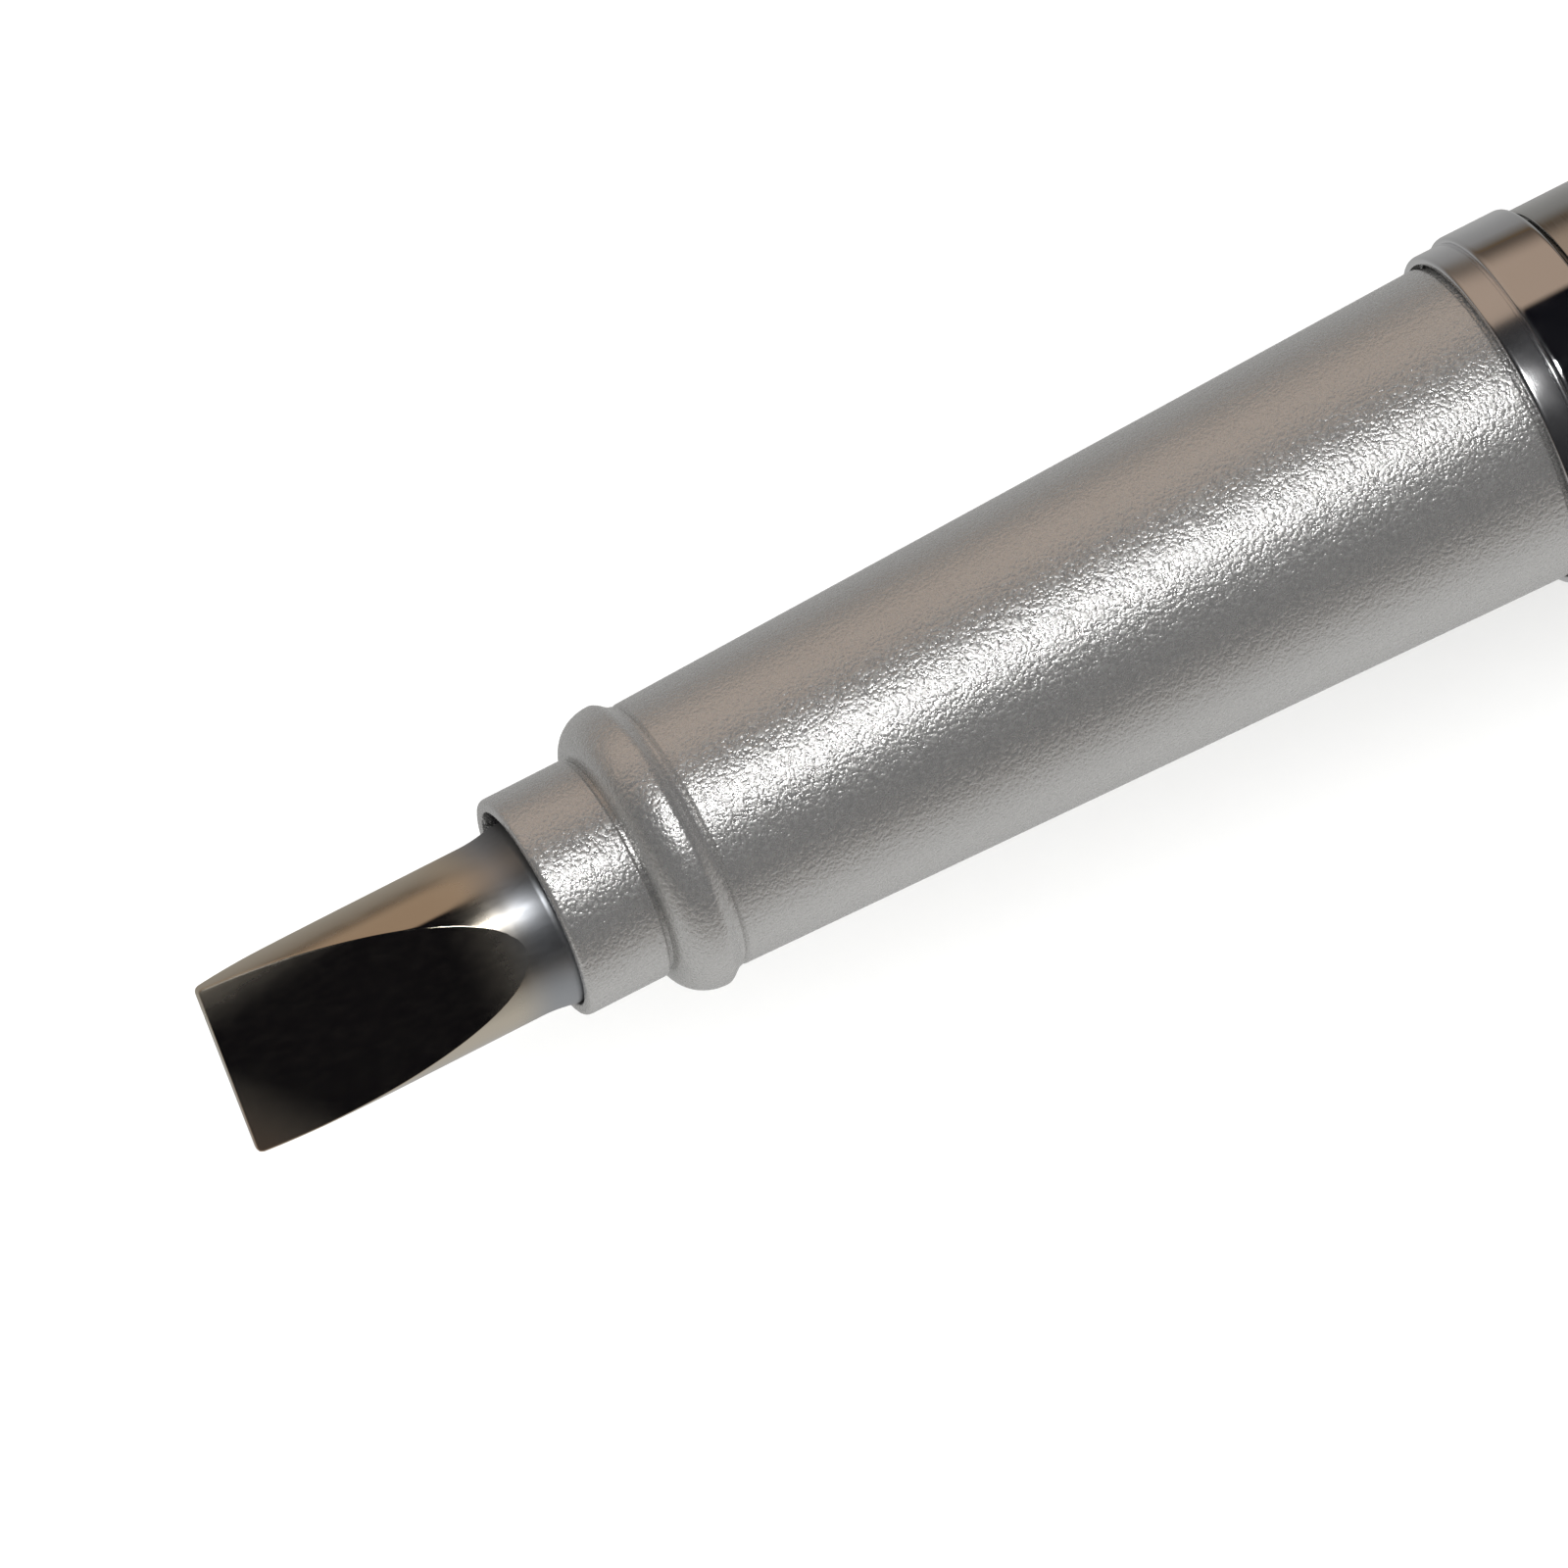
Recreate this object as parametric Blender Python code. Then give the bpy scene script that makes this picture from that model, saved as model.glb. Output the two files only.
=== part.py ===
"""Soldering iron for stained glass, as separate pieces.

The iron lies along X with its tip towards -X, resting on the flats of its guard, grip and handle.
Sizes are in millimetres, stations are distances back from the tip's end, and radii are about the iron's axis.
"""

import math

import bmesh
import bpy
from mathutils import Matrix, Vector

MM = 0.001

# driving dimensions
OVERALL_LENGTH = 240.0
AXIS_HEIGHT = 14.0              # the rest flats lie this far below the axis
ROUND_STEPS = 36

SHANK_RADIUS = 3.3
FLARE_RADIUS = 3.55
SHANK_OFFSET = 0.22             # the tip's front sits this far off the sleeve's axis
OFFSET_TURN = 111.0             # direction of that offset, from +Z towards -Y
CHISEL_TURN = 38.0              # direction that one chisel flat faces, from +Z towards -Y
CHISEL_SLOPE = 15.6
CHISEL_HALF_EDGE = 0.2
END_SKEW = 3.0                  # the working end is this far off square

COLLAR_FRONT = 12.5
COLLAR_RADIUS = 4.24
COLLAR_BORE = 3.85
BEAD_FRONT = 15.6
BEAD_CREST = 17.2
BEAD_RADIUS = 5.5
CONE_FRONT = 18.3
CONE_FRONT_RADIUS = 5.12
CONE_REAR = 50.6
CONE_REAR_RADIUS = 6.1
SLEEVE_REAR = 53.2
SLEEVE_FLANGE_RADIUS = 6.36

NUT_RADIUS = 6.7
NUT_LIP_BORE = 6.2
NUT_BORE = 6.45
NUT_REAR = 54.72
THREAD_RADIUS = 6.35

BARREL_FRONT = 54.95
BARREL_RADIUS = 6.45
BARREL_BORE = 6.0
BARREL_FLARE = 8.0
BARREL_REAR = 98.75
VENT_COUNT = 8

HEATER_RADIUS = 2.55
TIP_BORE = 2.75

GUARD_RADIUS = 17.0
GUARD_FRONT = 92.0
GUARD_REAR = 97.1
NOSE_FRONT = 97.4
GRIP_FRONT = 104.8
GRIP_REAR = 162.9
HANDLE_RADIUS = 14.8
WAIST_RADIUS = 12.4
HANDLE_REAR = 228.0
CAP_FRONT = 228.3
INLET_RADIUS = 4.0
SPLIT_GAP = 0.15                # from the middle plane to each shell

BOARD_TOP = -2.7
BOARD_THICKNESS = 1.6
BOARD_FRONT = 173.5
BOARD_REAR = 215.5
BOARD_HALF_WIDTH = 10.2
LAMP_STATION = 177.0
DIAL_STATION = 194.0
DIAL_RADIUS = 8.0
DIAL_SEAT_RADIUS = 8.8
DIAL_SEAT_FLOOR = 13.3
SHAFT_HOLE_RADIUS = 2.8
LAMP_HOLE_RADIUS = 2.05
SHELL_SCREWS = [(168.5, -8.3), (168.5, 8.3), (220.5, -8.3), (220.5, 8.3)]     # station and height of each
CLAMP_SCREW_TURNS = (60, 180, 300)
CLAMP_SCREW_CIRCLE = 10.0
FLUTE_COUNT = 16


def along(station):
    """X of a station, from the middle of the iron's length."""
    return station - OVERALL_LENGTH / 2


def facing(turn):
    """Unit vector across the axis, turned from +Z towards -Y."""
    angle = math.radians(turn)
    return Vector((0.0, -math.sin(angle), math.cos(angle)))


def finish(name, color, roughness, metallic=0.0):
    material = bpy.data.materials.new(name)
    material.use_nodes = True
    shader = material.node_tree.nodes["Principled BSDF"]
    shader.inputs["Base Color"].default_value = (*color, 1.0)
    shader.inputs["Roughness"].default_value = roughness
    shader.inputs["Metallic"].default_value = metallic
    return material


def place(name, shape, material, origin=(0.0, 0.0, AXIS_HEIGHT)):
    """Puts a bmesh drawn in millimetres about the iron's axis into an object whose origin is at origin."""
    bmesh.ops.translate(shape, verts=shape.verts, vec=Vector((0.0, 0.0, AXIS_HEIGHT)) - Vector(origin))
    bmesh.ops.scale(shape, verts=shape.verts, vec=(MM, MM, MM))
    bmesh.ops.recalc_face_normals(shape, faces=shape.faces)
    mesh = bpy.data.meshes.new(name)
    shape.to_mesh(mesh)
    shape.free()
    mesh.shade_smooth()
    mesh.set_sharp_from_angle(angle=math.radians(35))
    if material:
        mesh.materials.append(material)
    part = bpy.data.objects.new(name, mesh)
    part.location = Vector(origin) * MM
    bpy.context.collection.objects.link(part)
    return part


def arc(centre_station, centre_radius, length, height, start, stop, count):
    """Points of an elliptic arc, from angle start to angle stop, in degrees from +X towards the outside."""
    points = []
    for step in range(count + 1):
        angle = math.radians(start + (stop - start) * step / count)
        station = centre_station + length * math.cos(angle)
        radius = centre_radius + height * math.sin(angle)
        points.append((station, radius))
    return points


def spun(outline, closed=True, steps=ROUND_STEPS, upright=False):
    """Spins an outline of (station, radius) points about X, or of (radius, height) points about Z."""
    shape = bmesh.new()
    corners = []
    for first, second in outline:
        if upright:
            corners.append(shape.verts.new((first, 0.0, second)))
        else:
            corners.append(shape.verts.new((along(first), 0.0, second)))
    edges = [shape.edges.new(pair) for pair in zip(corners, corners[1:])]
    if closed:
        edges.append(shape.edges.new((corners[-1], corners[0])))
    axis = (0.0, 0.0, 1.0) if upright else (1.0, 0.0, 0.0)
    bmesh.ops.spin(shape, geom=corners + edges, cent=(0, 0, 0), axis=axis, angle=math.tau, steps=steps,
                   use_merge=True)
    bmesh.ops.remove_doubles(shape, verts=shape.verts, dist=0.0005)
    return shape


def turned(name, outline, material, closed=True, steps=ROUND_STEPS):
    return place(name, spun(outline, closed, steps), material)


def rod_shape(start, end, radius, steps):
    start, end = Vector(start), Vector(end)
    shape = bmesh.new()
    span = end - start
    # a quarter step of turn keeps the corners off the planes of symmetry
    turn = span.to_track_quat("Z", "Y").to_matrix().to_4x4() @ Matrix.Rotation(math.tau / steps / 4, 4, "Z")
    bmesh.ops.create_cone(shape, cap_ends=True, segments=steps, radius1=radius, radius2=radius,
                          depth=span.length, matrix=Matrix.Translation((start + end) / 2) @ turn)
    return shape


def block_shape(low, high):
    low, high = Vector(low), Vector(high)
    shape = bmesh.new()
    bmesh.ops.create_cube(shape, size=1.0)
    bmesh.ops.scale(shape, verts=shape.verts, vec=high - low)
    bmesh.ops.translate(shape, verts=shape.verts, vec=(low + high) / 2)
    return shape


def helper(name, shape):
    """A cutter or an addition that another object's Boolean uses."""
    tool = place(name, shape, None)
    tool.hide_render = True
    tool.display_type = "WIRE"
    return tool


def combine(part, tool, operation):
    change = part.modifiers.new(tool.name, "BOOLEAN")
    change.operation = operation
    change.object = tool


def cut(part, name, shape):
    combine(part, helper(name, shape), "DIFFERENCE")


def fuse(part, name, shape):
    combine(part, helper(name, shape), "UNION")


def flatten(part, front, rear):
    """Cuts the rest flat below the axis."""
    low = (along(front) - 2, -25, -30)
    high = (along(rear) + 2, 25, -AXIS_HEIGHT)
    cut(part, part.name + "_flat", block_shape(low, high))


# finishes
satin_steel = finish("satin_steel", (0.56, 0.55, 0.53), 0.38, 1.0)
polished_chrome = finish("polished_chrome", (0.75, 0.75, 0.76), 0.08, 1.0)
tip_plating = finish("tip_plating", (0.45, 0.42, 0.39), 0.12, 1.0)
barrel_steel = finish("barrel_steel", (0.52, 0.51, 0.49), 0.35, 1.0)
turned_steel = finish("turned_steel", (0.5, 0.5, 0.5), 0.4, 1.0)
zinc_steel = finish("zinc_steel", (0.62, 0.62, 0.6), 0.35, 1.0)
alumina = finish("alumina", (0.83, 0.81, 0.76), 0.6)
mica = finish("mica", (0.5, 0.44, 0.33), 0.45)
dark_nylon = finish("dark_nylon", (0.035, 0.037, 0.042), 0.5)
handle_plastic = finish("handle_plastic", (0.03, 0.1, 0.28), 0.45)
grip_rubber = finish("grip_rubber", (0.02, 0.021, 0.023), 0.75)
dial_plastic = finish("dial_plastic", (0.75, 0.5, 0.04), 0.4)
glass_sleeving = finish("glass_sleeving", (0.72, 0.71, 0.66), 0.8)
green_wire = finish("green_wire", (0.1, 0.32, 0.08), 0.5)
board_laminate = finish("board_laminate", (0.05, 0.2, 0.09), 0.4)
black_epoxy = finish("black_epoxy", (0.02, 0.02, 0.022), 0.5)
pot_body = finish("pot_body", (0.12, 0.2, 0.35), 0.4)
capacitor_resin = finish("capacitor_resin", (0.5, 0.06, 0.04), 0.35)
resistor_coat = finish("resistor_coat", (0.55, 0.45, 0.3), 0.5)
lamp_red = finish("lamp_red", (0.6, 0.03, 0.02), 0.2)
clear_acrylic = finish("clear_acrylic", (0.85, 0.3, 0.25), 0.1)
terminal_green = finish("terminal_green", (0.06, 0.35, 0.16), 0.45)


def make_tip():
    body = [(16.3, 0.0), (16.3, 4.2), (16.6, 4.4), (52.2, 4.4), (52.2, 5.4), (53.1, 5.4), (53.1, TIP_BORE),
            (18.8, TIP_BORE), (18.2, 0.0)]
    tip = turned("soldering_tip", body, tip_plating, closed=False)
    # the flare runs from the shank up to the stem that fills the collar's mouth
    rise = FLARE_RADIUS - SHANK_RADIUS
    front = [(0.0, 0.0), (0.0, SHANK_RADIUS)]
    for step in range(6):
        part_way = step / 5
        front.append((11.1 + 1.3 * part_way, SHANK_RADIUS + rise * part_way ** 2))
    front += [(17.0, FLARE_RADIUS), (17.0, 0.0)]
    shank = spun(front, closed=False)
    bmesh.ops.translate(shank, verts=shank.verts, vec=facing(OFFSET_TURN) * SHANK_OFFSET)
    fuse(tip, "tip_shank", shank)
    centre = facing(OFFSET_TURN) * SHANK_OFFSET
    slope = math.tan(math.radians(CHISEL_SLOPE))
    for side, turn in (("upper", CHISEL_TURN), ("lower", CHISEL_TURN + 180)):
        outward = facing(turn)
        across = facing(turn + 90)
        shape = bmesh.new()
        ring = []
        for station, level in ((-1.0, None), (13.0, None), (13.0, 7.0), (-1.0, 7.0)):
            height = CHISEL_HALF_EDGE + station * slope if level is None else level
            ring.append(centre + Vector((along(station), 0, 0)) + outward * height - across * 7)
        face = shape.faces.new([shape.verts.new(point) for point in ring])
        pushed = bmesh.ops.extrude_face_region(shape, geom=[face])
        moved = [item for item in pushed["geom"] if isinstance(item, bmesh.types.BMVert)]
        bmesh.ops.translate(shape, verts=moved, vec=across * 14)
        cut(tip, "chisel_flat_" + side, shape)
    # the working end: one corner stands forward of the other
    outward = facing(CHISEL_TURN)
    end = block_shape((-4, -8, -8), (0, 8, 8))
    turn = Matrix.Rotation(math.radians(-END_SKEW), 4, outward)
    pivot = centre + facing(CHISEL_TURN + 90) * SHANK_RADIUS + Vector((along(0.0), 0, 0))
    bmesh.ops.transform(end, verts=end.verts, matrix=Matrix.Translation(pivot) @ turn)
    cut(tip, "chisel_end", end)


def make_sleeve():
    outline = [(COLLAR_FRONT + 0.1, COLLAR_BORE), (COLLAR_FRONT, COLLAR_BORE + 0.08)]
    outline += arc(COLLAR_FRONT + 0.42, COLLAR_RADIUS - 0.3, 0.42, 0.3, 165, 90, 3)
    outline += [(BEAD_FRONT - 0.2, COLLAR_RADIUS), (BEAD_FRONT - 0.04, COLLAR_RADIUS + 0.08)]
    outline += arc(BEAD_CREST, COLLAR_RADIUS, BEAD_CREST - BEAD_FRONT, BEAD_RADIUS - COLLAR_RADIUS, 165, 90, 6)
    for step in range(1, 5):
        part_way = step / 4
        station = BEAD_CREST + (CONE_FRONT - BEAD_CREST) * part_way
        fall = (1 + math.cos(math.pi * part_way)) / 2
        outline.append((station, CONE_FRONT_RADIUS + (BEAD_RADIUS - CONE_FRONT_RADIUS) * fall))
    outline += [(CONE_REAR - 0.08, CONE_REAR_RADIUS), (CONE_REAR, CONE_REAR_RADIUS - 0.08),
                (CONE_REAR, 6.0), (52.74, 6.0), (52.74, SLEEVE_FLANGE_RADIUS),
                (SLEEVE_REAR, SLEEVE_FLANGE_RADIUS), (SLEEVE_REAR, 5.65),
                (16.4, 4.72), (16.0, COLLAR_BORE)]
    turned("tip_sleeve", outline, satin_steel)


def make_nut():
    turned("thrust_washer", [(52.32, 6.12), (52.32, 6.36), (52.62, 6.36), (52.62, 6.12)], turned_steel)
    outline = arc(51.6, 5.8, 0.9, 0.9, 154, 90, 4)
    outline += [(51.62, 6.5), (51.88, 6.5)]
    outline += arc(52.13, NUT_RADIUS - 0.25, 0.25, 0.25, 165, 90, 2)
    outline += arc(NUT_REAR - 0.2, NUT_RADIUS - 0.2, 0.2, 0.2, 90, 0, 2)
    outline += [(NUT_REAR, NUT_BORE), (52.25, NUT_BORE), (52.25, NUT_LIP_BORE)]
    turned("retaining_nut", outline, polished_chrome)


def make_barrel():
    bush = [(53.32, 5.2), (53.32, THREAD_RADIUS), (54.75, THREAD_RADIUS), (54.75, 5.88), (60.0, 5.88),
            (60.0, 5.3), (54.5, 5.3), (54.5, 5.2)]
    turned("threaded_bush", bush, turned_steel)
    tube = [(BARREL_FRONT, BARREL_BORE), (BARREL_FRONT, BARREL_RADIUS - 0.08),
            (BARREL_FRONT + 0.08, BARREL_RADIUS), (97.75, BARREL_RADIUS), (97.75, BARREL_FLARE),
            (BARREL_REAR, BARREL_FLARE), (BARREL_REAR, BARREL_BORE)]
    barrel = turned("barrel_tube", tube, barrel_steel)
    for index in range(VENT_COUNT // 2):
        direction = facing(180 * index / (VENT_COUNT // 2) + 22.5)
        middle = Vector((along(84.0), 0, 0))
        slot = rod_shape(middle - direction * 9, middle + direction * 9, 1.1, 10)
        for vert in slot.verts:
            if vert.co.x > middle.x + 0.01:
                vert.co.x += 2.2
            elif vert.co.x < middle.x - 0.01:
                vert.co.x -= 2.2
        cut(barrel, f"vent_{index + 1}", slot)


def make_heater():
    rod = [(19.1, 0.0), (19.1, HEATER_RADIUS - 0.4), (19.5, HEATER_RADIUS), (64.0, HEATER_RADIUS), (64.0, 0.0)]
    turned("heater_rod", rod, alumina, closed=False, steps=32)
    turned("heater_seat", [(55.5, 2.75), (55.5, 5.1), (59.5, 5.1), (59.5, 2.75)], alumina, steps=32)


def make_wire(name, route, radius, material):
    """A wire through the route's points, in millimetres about the axis."""
    points = [Vector((along(station), y, z)) for station, y, z in route]
    points = [points[0] * 2 - points[1]] + points + [points[-1] * 2 - points[-2]]
    path = []
    for index in range(1, len(points) - 2):
        a, b, c, d = points[index - 1:index + 3]
        for step in range(3):
            t = step / 3
            blend = 2 * b + (c - a) * t + (2 * a - 5 * b + 4 * c - d) * t ** 2 + (3 * b - a - 3 * c + d) * t ** 3
            path.append(blend / 2)
    path.append(points[-2])
    curve = bpy.data.curves.new(name, "CURVE")
    curve.dimensions = "3D"
    spline = curve.splines.new("POLY")
    spline.points.add(len(path) - 1)
    for point, place_at in zip(spline.points, path):
        point.co = (*(place_at * MM), 1.0)
    curve.bevel_depth = radius * MM
    curve.bevel_resolution = 1
    curve.use_fill_caps = True
    curve.materials.append(material)
    wire = bpy.data.objects.new(name, curve)
    wire.location = (0.0, 0.0, AXIS_HEIGHT * MM)
    bpy.context.collection.objects.link(wire)


def make_leads():
    for kind, across, ends in (("heater_lead", 1.3, 3.0), ("sensor_lead", 1.3, 6.0)):
        height = 1.3 if kind == "heater_lead" else -1.3
        for number, side in ((1, -1), (2, 1)):
            route = [(64.4, side * across, height), (72, side * 1.6, height * 1.2), (100, side * 2.2, height * 1.4),
                     (130, side * ends * 0.7, height * 1.5), (155, side * ends, height), (168, side * ends, -1.6),
                     (175.4, side * ends, -1.8)]
            make_wire(f"{kind}_{number}", route, 0.5, glass_sleeving)
    route = [(101.8, 0, 8.6), (106, 0, 8.4), (125, 0, 7.0), (150, 0, 3.5), (163, 0, 0.3), (170, 0, -1.7),
             (174.6, 0, -1.8)]
    make_wire("earth_lead", route, 0.6, green_wire)


def make_clamp():
    turned("mica_washer", [(97.2, 6.75), (97.2, 8.0), (97.6, 8.0), (97.6, 6.75)], mica, steps=32)
    ring = turned("clamp_ring", [(98.95, 6.3), (98.95, 8.0), (100.2, 8.0), (100.2, 11.8), (101.2, 11.8),
                                 (101.2, 6.3)], zinc_steel, steps=36)
    for number, turn in enumerate(CLAMP_SCREW_TURNS, 1):
        centre = facing(turn) * CLAMP_SCREW_CIRCLE
        hole = rod_shape(Vector((along(99), 0, 0)) + centre, Vector((along(103), 0, 0)) + centre, 1.15, 16)
        cut(ring, f"clamp_ring_hole_{number}", hole)
        screw = spun([(95.0, 0.0), (95.0, 0.6), (95.3, 0.9), (101.35, 0.9), (101.35, 1.7), (102.2, 1.7),
                      (102.5, 1.4), (102.5, 0.0)], closed=False, steps=16)
        bmesh.ops.translate(screw, verts=screw.verts, vec=centre)
        place(f"clamp_screw_{number}", screw, zinc_steel)


def make_guard():
    outline = [(GUARD_FRONT, 6.75), (GUARD_FRONT, 13.0)]
    outline += arc(GUARD_FRONT + 1.6, GUARD_RADIUS - 1.6, 1.0, 1.6, 165, 90, 3)
    outline += arc(GUARD_REAR - 1.2, GUARD_RADIUS - 1.2, 1.2, 1.2, 90, 0, 2)
    outline += [(GUARD_REAR, 11.5), (98.8, 11.5), (98.8, 12.5), (100.0, 12.5), (100.0, 8.3), (97.0, 8.3),
                (97.0, 6.75)]
    guard = turned("hand_guard", outline, dark_nylon)
    for number, turn in enumerate(CLAMP_SCREW_TURNS, 1):
        centre = facing(turn) * CLAMP_SCREW_CIRCLE
        hole = rod_shape(Vector((along(94.5), 0, 0)) + centre, Vector((along(103), 0, 0)) + centre, 1.1, 16)
        cut(guard, f"guard_hole_{number}", hole)
    flatten(guard, GUARD_FRONT, 101)


def make_grip():
    outline = [(GRIP_FRONT, 12.7), (GRIP_FRONT, 14.6), (GRIP_FRONT + 0.8, 15.3)]
    for step in range(1, 7):
        part_way = step / 7
        station = GRIP_FRONT + 0.8 + (GRIP_REAR - GRIP_FRONT - 1.6) * part_way
        outline.append((station, 15.3 - 0.9 * math.sin(math.pi * part_way)))
    outline += [(GRIP_REAR - 0.8, 15.3), (GRIP_REAR, 14.6), (GRIP_REAR, 12.7)]
    grip = turned("grip_sleeve", outline, grip_rubber)
    flatten(grip, GRIP_FRONT, GRIP_REAR)


def top_hole(shell, name, station, low, radius, steps):
    """A round hole or seat from the height low up through the top of a shell."""
    foot = Vector((along(station), 0, low))
    cut(shell, shell.name + name, rod_shape(foot, Vector((foot.x, 0, 20)), radius, steps))


def make_handle():
    outline = [(NOSE_FRONT, 11.8), (NOSE_FRONT, 13.4), (98.2, 14.2), (104.5, 14.2), (104.5, WAIST_RADIUS),
               (163.2, WAIST_RADIUS), (163.2, 14.4), (163.8, HANDLE_RADIUS)]
    for step in range(1, 3):
        part_way = step / 3
        station = 163.8 + (HANDLE_REAR - 163.8) * part_way
        outline.append((station, HANDLE_RADIUS - 0.2 * math.sin(math.pi * part_way) - 0.3 * part_way))
    outline += [(HANDLE_REAR, HANDLE_RADIUS - 0.3), (HANDLE_REAR, 12.5), (165.5, 12.5), (162.5, 10.2),
                (103.6, 10.2), (103.2, 12.8), (98.5, 12.8), (98.5, 11.8)]
    for name, side in (("handle_shell_left", -1), ("handle_shell_right", 1)):
        shell = turned(name, outline, handle_plastic)
        flatten(shell, 96, 232)
        for number, (station, height) in enumerate(SHELL_SCREWS, 1):
            centre = Vector((along(station), 0, height))
            boss = rod_shape(centre - Vector((0, 8.4, 0)), centre + Vector((0, 8.4, 0)), 3.2, 16)
            fuse(shell, f"{name}_boss_{number}", boss)
        for edge, low, high in (("lower", -6.4, -4.6), ("upper", -2.4, -1.0)):
            rail = block_shape((along(178), 9.0, low), (along(212), 12.8, high))
            if side < 0:
                bmesh.ops.scale(rail, verts=rail.verts, vec=(1, -1, 1))
                bmesh.ops.reverse_faces(rail, faces=rail.faces)
            fuse(shell, f"{name}_{edge}_rail", rail)
        top_hole(shell, "_dial_seat", DIAL_STATION, DIAL_SEAT_FLOOR, DIAL_SEAT_RADIUS, 40)
        top_hole(shell, "_shaft_hole", DIAL_STATION, 9, SHAFT_HOLE_RADIUS, 24)
        top_hole(shell, "_lamp_hole", LAMP_STATION, 9, LAMP_HOLE_RADIUS, 20)
        for number, (station, height) in enumerate(SHELL_SCREWS, 1):
            centre = Vector((along(station), 0, height))
            if side < 0:
                hole = rod_shape(centre - Vector((0, 16, 0)), centre + Vector((0, 2, 0)), 1.6, 16)
                seat = rod_shape(centre - Vector((0, 16, 0)), centre - Vector((0, 7.5, 0)), 2.9, 24)
                cut(shell, f"{name}_seat_{number}", seat)
            else:
                hole = rod_shape(centre - Vector((0, 2, 0)), centre + Vector((0, 7.6, 0)), 1.5, 16)
            cut(shell, f"{name}_hole_{number}", hole)
        low = (-150, -SPLIT_GAP, -30) if side < 0 else (-150, -30, -30)
        high = (150, 30, 30) if side < 0 else (150, SPLIT_GAP, 30)
        cut(shell, name + "_half", block_shape(low, high))


def make_shell_screws():
    for number, (station, height) in enumerate(SHELL_SCREWS, 1):
        screw = spun([(0, 7.3), (1.3, 7.3), (1.3, -7.6), (2.6, -7.6), (2.6, -8.7), (2.1, -9.2), (0, -9.2)],
                     closed=False, steps=20, upright=True)
        # the screw is drawn upright, then laid along Y
        bmesh.ops.rotate(screw, verts=screw.verts, cent=(0, 0, 0), matrix=Matrix.Rotation(-math.pi / 2, 3, "X"))
        slot = block_shape((-2.9, -9.4, -0.35), (2.9, -8.5, 0.35))
        centre = Vector((along(station), 0, height))
        bmesh.ops.translate(screw, verts=screw.verts, vec=centre)
        bmesh.ops.translate(slot, verts=slot.verts, vec=centre)
        piece = place(f"shell_screw_{number}", screw, zinc_steel)
        cut(piece, f"screw_slot_{number}", slot)


def make_cap():
    outline = [(225.2, 10.2), (225.2, 12.2), (CAP_FRONT, 12.2), (CAP_FRONT, 14.5)]
    outline += arc(235.5, 10.5, 4.5, 4.0, 90, 0, 4)
    outline += [(OVERALL_LENGTH, INLET_RADIUS + 0.4), (OVERALL_LENGTH - 0.4, INLET_RADIUS),
                (237.0, INLET_RADIUS), (237.0, 9.0), (235.0, 10.2)]
    cap = turned("rear_cap", outline, dark_nylon)
    flatten(cap, CAP_FRONT, OVERALL_LENGTH)


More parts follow.
